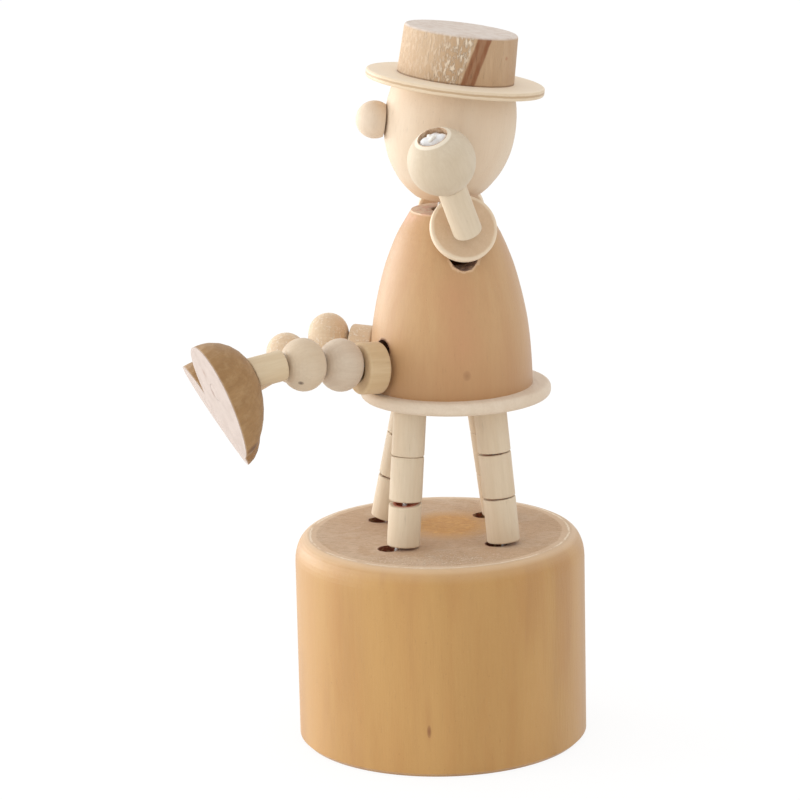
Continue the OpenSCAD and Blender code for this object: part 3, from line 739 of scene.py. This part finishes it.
for node, (lean, heading) in askew.items():
    cutAskew(node, lean, heading)
print("askew beads cut")

# each shin's end is sawn to lie flat on its shoe

shinEnd = {"length": 4.9, "grow": 1.9, "gap": 0.07}


def fitShin(side):
    node = f"shin_{side}"
    place, axis = (Vector(v) for v in beads[node])
    heel, facing = (Vector(v) for v in beads[f"shoe_{side}"])
    piece = copyNode(node, node + "_cut")
    lengthen(piece, place, axis, shinEnd["length"], shinEnd["grow"])
    pivot = heel - facing * shinEnd["gap"]
    sawThrough(node, piece, pivot, facing, node)


for side in sides:
    fitShin(side)
print("shins fitted to the shoes")

# filler over the knot in each sole, and glue over the knot in each hand, on a bead's own axes

filler = {
    "radius": 1.585,
    "low": 6.35,
    "high": 6.985,
    "corners": 40,
    "round": 0.04,
    "roundSteps": 2,
    "sharp": 40,
}
glue = {
    "lumps": [
        ((0.0, 0.0, 8.6), 1.8),
        ((1.0, 0.6, 8.7), 1.45),
        ((-0.9, -0.8, 8.9), 1.4),
        ((-0.5, 1.1, 8.6), 1.25),
    ],
    "segments": 24,
    "rings": 16,
    "voxel": 0.16,
    "smoothing": 0.8,
    "smoothTimes": 6,
    "colour": (236, 236, 236),
    "shade": (214, 212, 210, 0.6),
    "clouds": ((0.9, 3.0), (0.4, 0.65)),
    "ripple": (1.4, 3.0, 0.6),
    "dull": 0.2,
    "cloudDull": 0.25,
    "bump": 0.00009,
    "specular": 0.5,
    "sheen": 0.0,
}


def standPiece(piece, node):  # from a bead's own axes to its place, in metres
    place, axis = (Vector(v) for v in beads[node])
    turn = axis.to_track_quat("Z", "Y").to_matrix().to_4x4()
    smaller = Matrix.Scale(1 / metre, 4)
    piece.matrix_world = Matrix.Translation(place / metre) @ turn @ smaller
    bpy.ops.object.transform_apply()


def fillSole(side):
    clearSelection()
    node = f"shoe_{side}"
    bpy.ops.mesh.primitive_cylinder_add(
        location=(0, 0, (filler["low"] + filler["high"]) / 2),
        radius=filler["radius"],
        depth=filler["high"] - filler["low"],
        vertices=filler["corners"],
    )
    piece = bpy.context.object
    piece.name = node + "_filler"
    bpy.ops.object.mode_set(mode="EDIT")
    bpy.ops.mesh.select_all(action="SELECT")
    bpy.ops.mesh.bevel(offset=filler["round"], segments=filler["roundSteps"], affect="EDGES")
    bpy.ops.object.mode_set(mode="OBJECT")
    bpy.ops.object.transform_apply()
    smoothBelow(filler["sharp"])
    standPiece(piece, node)
    coat(piece, beadWoods[node])
    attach(piece, node)


def glueFinish():
    finish = Finish("driedGlue")
    point = partPoint(finish)
    cloud = point.patches(*glue["clouds"])
    colour = finish.stain(linear(glue["colour"]), cloud, glue["shade"])
    ripple = point.noise(*glue["ripple"])
    return finish.paint(colour, glue["dull"] + cloud * glue["cloudDull"], ripple, glue)


def glueHand(side, material):
    clearSelection()
    node = f"hand_{side}"
    lumps = []
    for middle, radius in glue["lumps"]:
        size = {"radius": radius, "segments": glue["segments"], "ring_count": glue["rings"]}
        bpy.ops.mesh.primitive_uv_sphere_add(location=middle, **size)
        lumps.append(bpy.context.object)
    for lump in lumps:
        lump.select_set(True)
    bpy.ops.object.join()
    piece = bpy.context.object
    piece.name = node + "_glue"
    bpy.ops.object.transform_apply()
    remesh = piece.modifiers.new("remesh", "REMESH")
    remesh.mode = "VOXEL"
    remesh.voxel_size = glue["voxel"]
    smooth = piece.modifiers.new("smooth", "SMOOTH")
    smooth.factor = glue["smoothing"]
    smooth.iterations = glue["smoothTimes"]
    for modifier in ("remesh", "smooth"):
        bpy.ops.object.modifier_apply(modifier=modifier)
    bpy.ops.object.shade_smooth()
    standPiece(piece, node)
    coat(piece, material)
    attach(piece, node)


glueWhite = glueFinish()
for side in sides:
    fillSole(side)
    glueHand(side, glueWhite)
print("soles filled, hands glued")

# torso: stained holes, torn wood round its neck

torsoLook = {
    "tints": ((195, 155, 108), (173, 131, 85), (186, 138, 92)),
    "ringGap": 7.0,
    "rings": 0.16,
    "fibre": 0.16,
    "pores": 0.1,
    "dull": 0.48,
    "bump": 0.00006,
    "specular": 0.45,
    "sheen": 0.18,
}
torso = {
    "foot": (0, 2.6, 62.36),
    "twist": 0.4,
    # painted shade: darker and warmer towards the torso's foot, by the seat
    "low": ((62.0, 77.0), (172, 124, 78, 0.55)),
    "red": (192, 140, 98, 0.75),
    "redPlaces": [(11.9, 2.2, 79.3), (13.3, 3.3, 71.9)],
    "redReach": (4.0, 4.6, 6.5),
    "strokeStretch": (1.0, 1.0, 0.1),
    "stroke": (1.6, 4.0, 0.6),
    "strokeLift": 0.25,
    "knot": ((13.67, 3.81, 66.62), (1.5, 0.75, 0.95), 0.6, (138, 92, 54, 0.55)),
    "relief": 0.5,
}
hole = {  # a hole's height, and its heading from straight out, in degrees
    "ragged": (0.9, 4.0, 0.65),
    "shoulder": (86.36, 9),
    "shoulderReach": 1.2,
    "shoulderFade": (3.05, 3.25),
    "chip": (222, 190, 154, 0.6),
    "chipFade": (3.4, 3.7),
    "chipBelow": (85.0, 86.2),
    "hip": (69.66, -64),
    "hipReach": 0.9,
    "hipFade": (2.55, 2.9),
    "hipFront": (1.0, 2.4),
    "stain": (128, 82, 54, 0.92),
    "stainDull": 0.3,
    "stainRelief": 1.5,
}
torn = {
    "from": (92.2, 92.5),
    "patches": ((0.5, 4.0, 0.7), (0.42, 0.6)),
    "smooth": (230, 206, 178),
    "rough": (218, 178, 148, 1.0),
    "strength": 0.8,
    "pinkPlace": ((-0.9, -3.5, 92.55), (7.0, 5.0, 3.0)),
    "pinkGain": 1.6,
    "pink": (216, 160, 134, 0.5),
    "dull": 0.2,
    "relief": 1.2,
}


def aroundHole(corner, height, heading):  # distance from a level hole's axis, on both sides
    x, y, z = corner
    turn = math.radians(heading)
    side = (y - torso["foot"][1]) * math.cos(turn) - abs(x) * math.sin(turn)
    rise = z - height
    return (side * side + rise * rise) ** 0.5


def torsoFinish():
    look = {**woodBase, **torsoLook}
    finish = Finish("torsoWood")
    own = ownPoint(finish, torso["foot"], (0, 0, 1), torso["twist"])
    colour, height, blotch = woodGrain(finish, own, look)
    point = partPoint(finish)
    corner = x, y, z = point.split()
    # painted shade towards the torso's foot, by the seat
    colour = finish.below(colour, z, *torso["low"])
    red = sum(point.spot(place, torso["redReach"]) for place in torso["redPlaces"])
    stroke = point.scaled(torso["strokeStretch"]).noise(*torso["stroke"])
    red = (red * (stroke + torso["strokeLift"])).clamped()
    colour = finish.stain(colour, red, torso["red"])
    colour = finish.mark(colour, point, *torso["knot"])

    ragged = point.noise(*hole["ragged"])
    shoulder = aroundHole(corner, *hole["shoulder"]) + ragged * hole["shoulderReach"]
    chip = shoulder.fall(*hole["chipFade"]) * z.fall(*hole["chipBelow"])
    colour = finish.stain(colour, chip, hole["chip"])
    hip = aroundHole(corner, *hole["hip"]) + ragged * hole["hipReach"]
    arc = hip.fall(*hole["hipFade"]) * y.fall(*hole["hipFront"])
    stain = (shoulder.fall(*hole["shoulderFade"]) + arc).clamped()
    colour = finish.stain(colour, stain, hole["stain"])

    top = z.step(*torn["from"])
    rough = point.patches(*torn["patches"])
    topColour = finish.stain(linear(torn["smooth"]), rough, torn["rough"])
    colour = finish.mix(top * torn["strength"], colour, topColour)
    near = point.spot(*torn["pinkPlace"]) * torn["pinkGain"]
    colour = finish.stain(colour, (near * rough).clamped(), torn["pink"])
    height = height * torso["relief"] + rough * top * torn["relief"]
    height = height + stain * ragged * hole["stainRelief"]
    dull = look["dull"] + stain * hole["stainDull"] + top * torn["dull"]
    return finish.paint(colour, dull, height, look)


dress("torso", torsoFinish())

# seat, head, nose, hat and button; marks on the head are placed on its own leaning axes

head = {"place": (0.0, 1.4, 94.46), "axis": (0.0, 0.139, 0.990), "lean": math.radians(8)}
# painted shade under the head, round the neck
chinShade = {"waver": ((0.4, 3.0), 2.0), "paintedShade": ((1.4, 4.8), (200, 152, 96, 0.5))}
brim = {
    "ply": (176, 142, 104, 0.7),
    "plyHeight": 20.07,
    "plyFade": (0.1, 0.26),
    "waver": ((0.5, 3.0), 0.3),
    "sideFrom": (14.5, 14.9),
    "top": ((20.45, 20.6), (240, 223, 198, 0.75)),
}
crown = {
    "edge": (0.7, 3.0),
    "edgeReach": 1.2,
    "middle": 24.7,
    "slope": -0.27,
    "sawnShare": 0.25,
    "sawnFade": (0.2, 1.0),
    "sawn": (218, 194, 164, 1.0),
    "sawnMost": 0.5,
    "sawnLess": 0.4,
    "tornFrom": (-6.0, -1.5),
    "tornGain": 0.7,
    "tornLeast": 0.3,
    "fleckStretch": (1.0, 1.0, 0.4),
    "flecks": ((2.3, 3.0, 0.6, 0.2), (0.46, 0.62)),
    "fleck": (236, 218, 194, 0.85),
    "fleckHeight": 1.1,
    "bandPlace": 2.1,
    "bandFade": (1.0, 1.35),
    "bandCore": (0.2, 0.6),
    "bandFrom": (0.0, 2.0),
    "bandLeast": 0.62,
    "coreLess": 0.22,
    "streakGain": 0.6,
    "band": (138, 86, 50, 1.0),
    "streakStretch": (1.0, 1.0, 0.15),
    "streaks": (1.8, 4.0, 0.6),
    "speck": ((6.6, 7.4, 25.4), (0.5, 0.4, 0.4), 0.5, (172, 116, 82, 1.0)),
    # painted shadow at the crown's foot, where it meets the brim
    "foot": ((20.82, 21.0), (118, 84, 56, 0.6)),
    "footShare": 0.1,
    "top": (222, 208, 196),
    "topFrom": (28.3, 28.7),
    "topShade": ((0.6, 4.0, 0.65), (0.42, 0.62), (204, 182, 164, 0.5)),
    "dull": 0.1,
}
noseRelief = 0.3


def headPoint(finish):
    return turnedPoint(finish, head["place"], (-head["lean"], 0, 0))


def headMarks(finish, point, colour, height, dull):  # painted shade: darker honey-brown under the head, round the neck hole
    place = headPoint(finish)
    z = place.split()[2].waved(place, *chinShade["waver"])
    return finish.below(colour, z, *chinShade["paintedShade"]), height, dull


def noseMarks(finish, point, colour, height, dull):
    return colour, height * noseRelief, dull


def brimMarks(finish, point, colour, height, dull):  # a plywood disc: one darker ply shows
    place = headPoint(finish)
    z = place.split()[2]
    offset = abs(z.waved(place, *brim["waver"]) - brim["plyHeight"])
    side = place.fromAxis().step(*brim["sideFrom"])
    colour = finish.stain(colour, offset.fall(*brim["plyFade"]) * side, brim["ply"])
    return finish.above(colour, z, *brim["top"]), height, dull


def crownMarks(finish, point, colour, height, dull):  # sawn side, a slanting band, pale top
    place = headPoint(finish)
    x, y, z = place.split()
    edge = place.noise(*crown["edge"]) * crown["edgeReach"]
    lean = y + (z - crown["middle"]) * crown["slope"] + edge * crown["sawnShare"]
    rough = lean.fall(*crown["sawnFade"])
    tear = lean.step(*crown["tornFrom"]) * crown["tornGain"]
    ragged = rough * (crown["tornLeast"] + tear)
    plain = rough * (crown["sawnMost"] - ragged * crown["sawnLess"])
    colour = finish.stain(colour, plain, crown["sawn"])
    fleck = place.scaled(crown["fleckStretch"]).patches(*crown["flecks"])
    fleck = fleck * ragged
    colour = finish.stain(colour, fleck, crown["fleck"])
    offset = abs(lean - crown["bandPlace"])
    band = offset.fall(*crown["bandFade"]) * x.step(*crown["bandFrom"])
    streaks = place.scaled(crown["streakStretch"]).noise(*crown["streaks"])
    core = offset.fall(*crown["bandCore"])
    strength = streaks * crown["streakGain"] + crown["bandLeast"] - core * crown["coreLess"]
    colour = finish.stain(colour, band * strength.clamped(), crown["band"])
    colour = finish.mark(colour, place, *crown["speck"])
    # painted shadow: darker round the crown's foot, where it meets the brim
    colour = finish.below(colour, z + edge * crown["footShare"], *crown["foot"])
    topColour = finish.clouded(linear(crown["top"]), place, *crown["topShade"])
    top = z.step(*crown["topFrom"])
    height = height + fleck * crown["fleckHeight"] * (1 - top)
    return finish.mix(top, colour, topColour), height, dull + rough * crown["dull"]


turnings = {  # name of the wood, then place, grain, twist and look
    "seat_disc": (
        ("seatWood", (0, 3.3, 60.16), (1, 0.1, 0.0), 0.0),
        {"tints": ((222, 204, 182), (204, 183, 158), (212, 191, 166))},
    ),
    "head": (
        ("headWood", head["place"], head["axis"], 0.9, headMarks),
        {"tints": ((222, 202, 177), (206, 181, 153), (215, 190, 163))}
        | {"rings": 0.08, "fibre": 0.12, "ringGap": 5.0},
    ),
    "nose": (
        ("noseWood", head["place"], head["axis"], 1.9, noseMarks),
        {"tints": ((226, 208, 186), (210, 188, 162), (218, 196, 172)), "rings": 0.1},
    ),
    "hat_brim": (
        ("brimWood", head["place"], (0.2, 1, -0.14), 0.0, brimMarks),
        {"tints": ((226, 206, 178), (208, 184, 150), (218, 196, 164)), "rings": 0.1},
    ),
    "hat_crown": (
        ("crownWood", head["place"], head["axis"], 0.2, crownMarks),
        {"tints": ((196, 164, 129), (172, 136, 99), (186, 150, 115))}
        | {"ringGap": 3.4, "bump": 0.00015},
    ),
    "button": (
        ("buttonWood", (0, 0, 0), (1, 0.3, 0), 0.0),
        {"tints": ((214, 190, 158), (190, 160, 124), (202, 172, 136))},
    ),
}
for node, (wood, look) in turnings.items():
    dress(node, woodFinish(*wood, **look))
print("torso, seat, head, hat and button dressed")

# strings: three plies, laid along the same routes as the solids

thread = {
    "radius": 0.4,
    "plies": 3,
    "plyPoints": 4,
    "plyDepth": 0.12,
    "lay": 2.6,
    "step": 0.22,
    "least": 0.05,
    "bend": 0.08,
    "sharp": 60,
    "colour": (242, 240, 234),
    "shade": ((1.3, 2.0), (0.35, 0.65), (224, 218, 206, 0.5)),
    "fuzzNoise": (9.0, 4.0, 0.7),
    "fuzz": ((0.55, 0.7), (205, 200, 190, 0.4)),
    "stains": [(8.4, -6.5, 43.9), (9.1, -8.2, 35.7), (9.1, 9.8, 35.7)],
    "stainReach": (1.6, 1.6, 1.1),
    "stainGain": 3.0,
    "stain": (112, 64, 40, 0.9),
    "dull": 0.85,
    "fuzzDull": 0.1,
    "bump": 0.00006,
    "specular": 0.2,
    "sheen": 0.0,
}
knot = {"size": 1.3, "points": 72, "spread": 0.24, "depth": 1.5, "thick": 0.27, "round": 3}
tiny = 1e-6
stoolRoutes = {
    "front_left": [(8.6, -8.6, 4.6), (8.6, -8.6, 9), (9.2, -9.6, 24), (9.088, -8.204, 36)]
    + [(9.073, -8.094, 36.44), (8.39, -6.49, 44.11), (7.17, -5.27, 59.62), (7.17, -5.27, 62.36)],
    "front_right": [(-8.6, -8.6, 4.6), (-8.6, -8.6, 9), (-9.2, -9.6, 24), (-9, -8.3, 36)]
    + [(-9, -8.3, 36.65), (-8.4, -6.75, 44.27), (-7.2, -3.65, 59.51), (-7.2, -3.65, 62.36)],
    "rear_left": [(8.6, 8.6, 4.6), (8.6, 8.6, 9), (9.2, 8.8, 24), (9, 10.1, 36)]
    + [(9, 10.1, 36.36), (8.39, 9.49, 44.11), (7.17, 8.27, 59.62), (7.17, 8.27, 62.36)],
    "rear_right": [(-8.6, 8.6, 4.6), (-8.6, 8.6, 9), (-9.2, 8.8, 24), (-9.088, 10.196, 36)]
    + [(-9.09, 10.312, 36.35), (-8.393, 10.285, 44.18)]
    + [(-7.18, 8.255, 59.6), (-7.18, 8.255, 62.36)],
}
limbRoutes = {
    "leg_string_left": [(4.734, -7.107, 68.856), (5.951, -9.602, 68.156)]
    + [(6.179, -10.059, 68.251), (7.873, -13.866, 67.672), (7.899, -13.923, 67.799)]
    + [(10.646, -20.094, 69.067), (10.747, -20.321, 69.185), (13.534, -26.578, 69.62)]
    + [(13.68, -26.935, 69.672), (15.49, -31.415, 69.23), (15.733, -32.218, 69.046)]
    + [(16.934, -36.147, 67.469)],
    "leg_string_right": [(-4.734, -7.107, 68.856), (-5.951, -9.602, 68.156)]
    + [(-6.196, -10.053, 68.251), (-7.262, -14.032, 68.21), (-7.341, -14.346, 68.531)]
    + [(-8.531, -21.092, 68.276), (-8.527, -21.76, 67.771), (-8.84, -27.741, 64.381)]
    + [(-8.716, -28.051, 64.2), (-8.419, -32.295, 61.87), (-8.246, -32.68, 61.651)]
    + [(-7.519, -36.421, 59.451)],
    "arm_string_left": [(3.6, 4.4, 70.556), (1.8, 0.175, 85.742), (5.432, 3.46, 86.356)]
    + [(8.685, 3.976, 88.356), (9.358, 4.082, 89.382), (10.34, 4.238, 90.563)]
    + [(12.328, 4.553, 90.784), (15.802, 1.465, 99.241), (18.805, -1.205, 106.551)],
}
limbRoutes["arm_string_right"] = mirrored(limbRoutes["arm_string_left"])
# where a route leaves one body for the next, counted in its points
stoolCrossings = [(1, 2), (2.9, 4.1), (4.85, 5.06), (5.45, 5.55), (5.93, 6.2), (6.8, 7.3)]
limbCrossings = {
    "leg": [(9, 10.1), (10.9, 12.1), (12.9, 14.1), (14.9, 16.1), (16.9, 18.1)],
    "arm": [(11, 12), (13, 14), (14.93, 15.07)],
}
stoolOf = {"leg": "front", "arm": "rear"}
limbBodies = {
    "leg": ("thigh", "upper_bead", "knee_bead", "shin", "shoe"),
    "arm": ("washer", "arm", "hand"),
}
knotTwist = {"low": 0.4, "end": 1.1}


def pointOn(route, t):
    index = min(int(t), len(route) - 2)
    return Vector(route[index]).lerp(Vector(route[index + 1]), t - index)


def eased(route, t):  # a thread bends softly at each point
    last, bend = len(route) - 1, thread["bend"]
    near = [pointOn(route, min(max(t + d, 0), last)) for d in (-bend, 0, 0, bend)]
    return sum(near, Vector()) / len(near)


def sampled(route, start, end):
    points = [eased(route, start)]
    last = len(route) - 1
    t = start
    while t < end - tiny:
        span = (pointOn(route, min(int(t) + 1, last)) - pointOn(route, int(t))).length
        share = thread["step"] / max(span, thread["least"])
        t = min(t + share, math.floor(t + tiny) + 1, end)
        point = eased(route, t)
        if (point - points[-1]).length > thread["least"]:
            points.append(point)
    return points


def emptyLine(curve, count):  # its first spline makes way for one of that many points
    curve.splines.clear()
    spline = curve.splines.new("POLY")
    spline.points.add(count - 1)
    return spline


def newPath(name, count):
    clearSelection()
    bpy.ops.curve.primitive_nurbs_path_add()
    path = bpy.context.object
    path.name = name
    spline = emptyLine(path.data, count)
    path.data.dimensions = "3D"
    return path, spline


def plyProfile():
    bpy.ops.curve.primitive_bezier_circle_add(radius=1 / metre)
    outline = bpy.context.object
    outline.name = "plyOutline"
    count = thread["plyPoints"] * thread["plies"]
    spline = emptyLine(outline.data, count)
    for index, point in enumerate(spline.points):
        angle = fullTurn * index / count
        swell = 1 - thread["plyDepth"] * (1 + math.cos(thread["plies"] * angle)) / 2
        reach = thread["radius"] * swell / metre
        point.co = (reach * math.cos(angle), reach * math.sin(angle), 0, 1)
    spline.use_cyclic_u = True
    return outline


def meshed(degrees, material):  # the curve at hand becomes a mesh, smooth below an angle
    bpy.ops.object.convert(target="MESH")
    smoothBelow(degrees)
    piece = bpy.context.object
    coat(piece, material)
    return piece


def layThread(name, points, outline):  # a curve along the points, turned into a mesh
    path, spline = newPath(name, len(points))
    run = 0.0
    for index, point in enumerate(points):
        if index:
            run += (point - points[index - 1]).length
        spline.points[index].co = (*(point / metre), 1)
        spline.points[index].tilt = fullTurn * run / thread["lay"]
    path.data.bevel_mode = "OBJECT"
    path.data.bevel_object = outline
    path.data.use_fill_caps = True
    return meshed(thread["sharp"], cotton)


def threadFinish():
    finish = Finish("cottonThread")
    point = ownPoint(finish, (0, 0, 0), (0, 0, 1), 0.0)
    fuzz = point.noise(*thread["fuzzNoise"])
    colour = finish.clouded(linear(thread["colour"]), point, *thread["shade"])
    colour = finish.above(colour, fuzz, *thread["fuzz"])
    for place in thread["stains"]:
        near = point.spot(place, thread["stainReach"]) * thread["stainGain"]
        colour = finish.stain(colour, near.clamped(), thread["stain"])
    return finish.paint(colour, thread["dull"] + fuzz * thread["fuzzDull"], fuzz, thread)


def makeKnot(name, place, size, body, twist):  # an overhand knot pulled tight
    path, spline = newPath(name, knot["points"])
    for index, point in enumerate(spline.points):
        t = fullTurn * index / knot["points"]
        loop = (math.sin(t) + 2 * math.sin(2 * t), math.cos(t) - 2 * math.cos(2 * t))
        spot = Vector((*loop, -knot["depth"] * math.sin(3 * t))) * size * knot["spread"]
        spot.rotate(Matrix.Rotation(twist, 3, "Z"))
        point.co = (*((place + spot) / metre), 1)
    spline.use_cyclic_u = True
    path.data.bevel_depth = size * knot["thick"] / metre
    path.data.bevel_resolution = knot["round"]
    bpy.ops.object.convert(target="MESH")
    bpy.ops.object.shade_smooth()
    piece = bpy.context.object
    coat(piece, cotton)
    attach(piece, body)


def strandPieces(node, route, bodies, crossings, outline):  # one piece for each crossing
    edges = [0.0]
    for low, high in zip(crossings, crossings[1:]):
        edges.append((low[1] + high[0]) / 2)
    edges.append(len(route) - 1.0)
    for index, (start, end) in enumerate(crossings):
        before, after = bodies[index], bodies[index + 1]
        joined = any({before, after} == {j["parent"], j["child"]} for j in frame["joints"])
        spans = [(edges[index], edges[index + 1])]
        if not joined:  # an open hinge: each side keeps its own end
            spans = [(edges[index], end), (start, edges[index + 1])]
        for part, (low, high) in enumerate(spans):
            name = f"{node}_{index}" + ("" if joined else "ab"[part])
            piece = layThread(name, sampled(route, low, high), outline)
            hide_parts(node)
            if joined:
                ends = [pointOn(route, t) / metre for t in (start, end)]
                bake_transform(piece)
            else:
                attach(piece, (before, after)[part])


def pastEnd(route, last, inner):  # a knot's middle, beyond an end of its route
    end = Vector(route[last])
    return end + (end - Vector(route[inner])).normalized() * knot["size"]


cotton = threadFinish()
plyOutline = plyProfile()
for side in sides:
    for limb, row in stoolOf.items():
        node = f"{limb}_string_{side}"
        route = stoolRoutes[f"{row}_{side}"] + limbRoutes[node]
        column = [f"{row}_{side}_{bead}" for bead in legBeads]
        bodies = ["button", "base", *column, "seat", "torso"]
        bodies += [f"{part}_{side}" for part in limbBodies[limb]]
        crossings = stoolCrossings + limbCrossings[limb]
        strandPieces(node, route, bodies, crossings, plyOutline)
        low, end = pastEnd(route, 0, 1), pastEnd(route, -1, -2)
        makeKnot(node + "_low_knot", low, knot["size"], "button", knotTwist["low"])
        makeKnot(node + "_end_knot", end, knot["size"], bodies[-1], knotTwist["end"])
print("limb strings laid")

# neck: two strands with a knot at each end, on the head's own axes

neck = {
    "shift": 0.45,
    "low": -8.8,
    "waist": -1,
    "high": 16.3,
    "lowShare": 0.6,
    "highShare": 0.9,
    "knots": {"low": (-8.8, 1.3, 0.2), "high": (16.35, 2.1, 0.7)},  # height, size and twist
}


def onHead(x, z):
    turn = Matrix.Rotation(-head["lean"], 3, "X")
    return Vector(head["place"]) + turn @ Vector((x, 0, z))


for number, x in enumerate((-neck["shift"], neck["shift"])):
    low = onHead(x * neck["lowShare"], neck["low"])
    high = onHead(x * neck["highShare"], neck["high"])
    run = sampled([low, onHead(x, neck["waist"]), high], 0, 2)
    strand = layThread(f"neck_strand_{number}", run, plyOutline)
    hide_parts("neck_string")
    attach(strand, "neck")
for end, (height, size, twist) in neck["knots"].items():
    makeKnot(f"neck_{end}_knot", onHead(0, height), size, "neck", twist)
clearSelection()
bpy.data.objects.remove(plyOutline)
print("neck strings laid")

# return spring: round wire with a dull plated finish

spring = {
    "radius": 7.5,
    "wire": 0.5,
    "low": 9.55,
    "high": 23.45,
    "turns": 5,
    "steps": 36,
    "round": 4,
    "sharp": 50,
    "travel": 7.5,
    "roof": 24.0,
    "colour": (190, 190, 188),
    "drawn": (150, 150, 150, 1.0),
    "drawnStretch": (1, 1, 8),
    "drawnNoise": (3.0, 4.0, 0.6),
    "drawnFrom": (0.4, 0.7),
    "dull": 0.28,
    "drawnDull": 0.2,
    "bump": 0.00003,
}


def springFinish():
    finish = Finish("springSteel")
    point = ownPoint(finish, (0, 0, 0), (0, 0, 1), 0.0)
    drawn = point.scaled(spring["drawnStretch"]).noise(*spring["drawnNoise"])
    mask = drawn.step(*spring["drawnFrom"])
    values = {"Normal": finish.bump(drawn, spring["bump"]), "Metallic": 1.0}
    values["Base Color"] = finish.stain(linear(spring["colour"]), mask, spring["drawn"])
    values["Roughness"] = spring["dull"] + drawn * spring["drawnDull"]
    return finish.close(finish.make("BsdfPrincipled", {}, values))


def makeSpring():
    count = spring["turns"] * spring["steps"]
    path, spline = newPath("spring_coil", count + 1)
    for index, point in enumerate(spline.points):
        share = index / count
        angle = fullTurn * spring["turns"] * share
        height = spring["low"] + (spring["high"] - spring["low"]) * share
        across, deep = (spring["radius"] * f(angle) for f in (math.cos, math.sin))
        point.co = (across / metre, deep / metre, height / metre, 1)
    path.data.bevel_depth = spring["wire"] / metre
    path.data.bevel_resolution = spring["round"]
    path.data.use_fill_caps = True
    piece = meshed(spring["sharp"], springFinish())
    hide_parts("return_spring")
    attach(piece, "base")
    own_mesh(piece)


makeSpring()
print("spring wound")

# pale floor, white to the camera but for the shadow, and a white world


def layFloor():
    clearSelection()
    bpy.ops.mesh.primitive_plane_add(size=floorLook["size"])
    floor = bpy.context.object
    floor.name = "floor"
    finish = Finish("floorPaper")
    paper = finish.make("BsdfDiffuse", {}, {"Color": linear(floorLook["colour"])})
    white = {"Color": (1, 1, 1, 1), "Strength": floorLook["level"]}
    glow = finish.make("Emission", {}, white)
    camera = finish.make("LightPath", {}, {}, "Is Camera Ray")
    glossy = finish.make("LightPath", {}, {}, "Is Glossy Ray")
    seen = (camera + glossy).clamped() * floorLook["glow"]
    finish.close(finish.make("MixShader", {}, {0: seen, 1: paper, 2: glow}))
    coat(floor, finish.material)


def setWorld():
    world = bpy.data.worlds.new("studio")
    bpy.context.scene.world = world
    world.use_nodes = True
    tree = world.node_tree
    sky = tree.nodes["Background"]
    sky.inputs["Color"].default_value = (1, 1, 1, 1)
    path = tree.nodes.new("ShaderNodeLightPath")
    level = tree.nodes.new("ShaderNodeMapRange")
    level.inputs["To Min"].default_value = light["worldStrength"]
    tree.links.new(path.outputs["Is Camera Ray"], level.inputs["Value"])
    tree.links.new(level.outputs["Result"], sky.inputs["Strength"])


layFloor()
setWorld()
print("floor and world set")
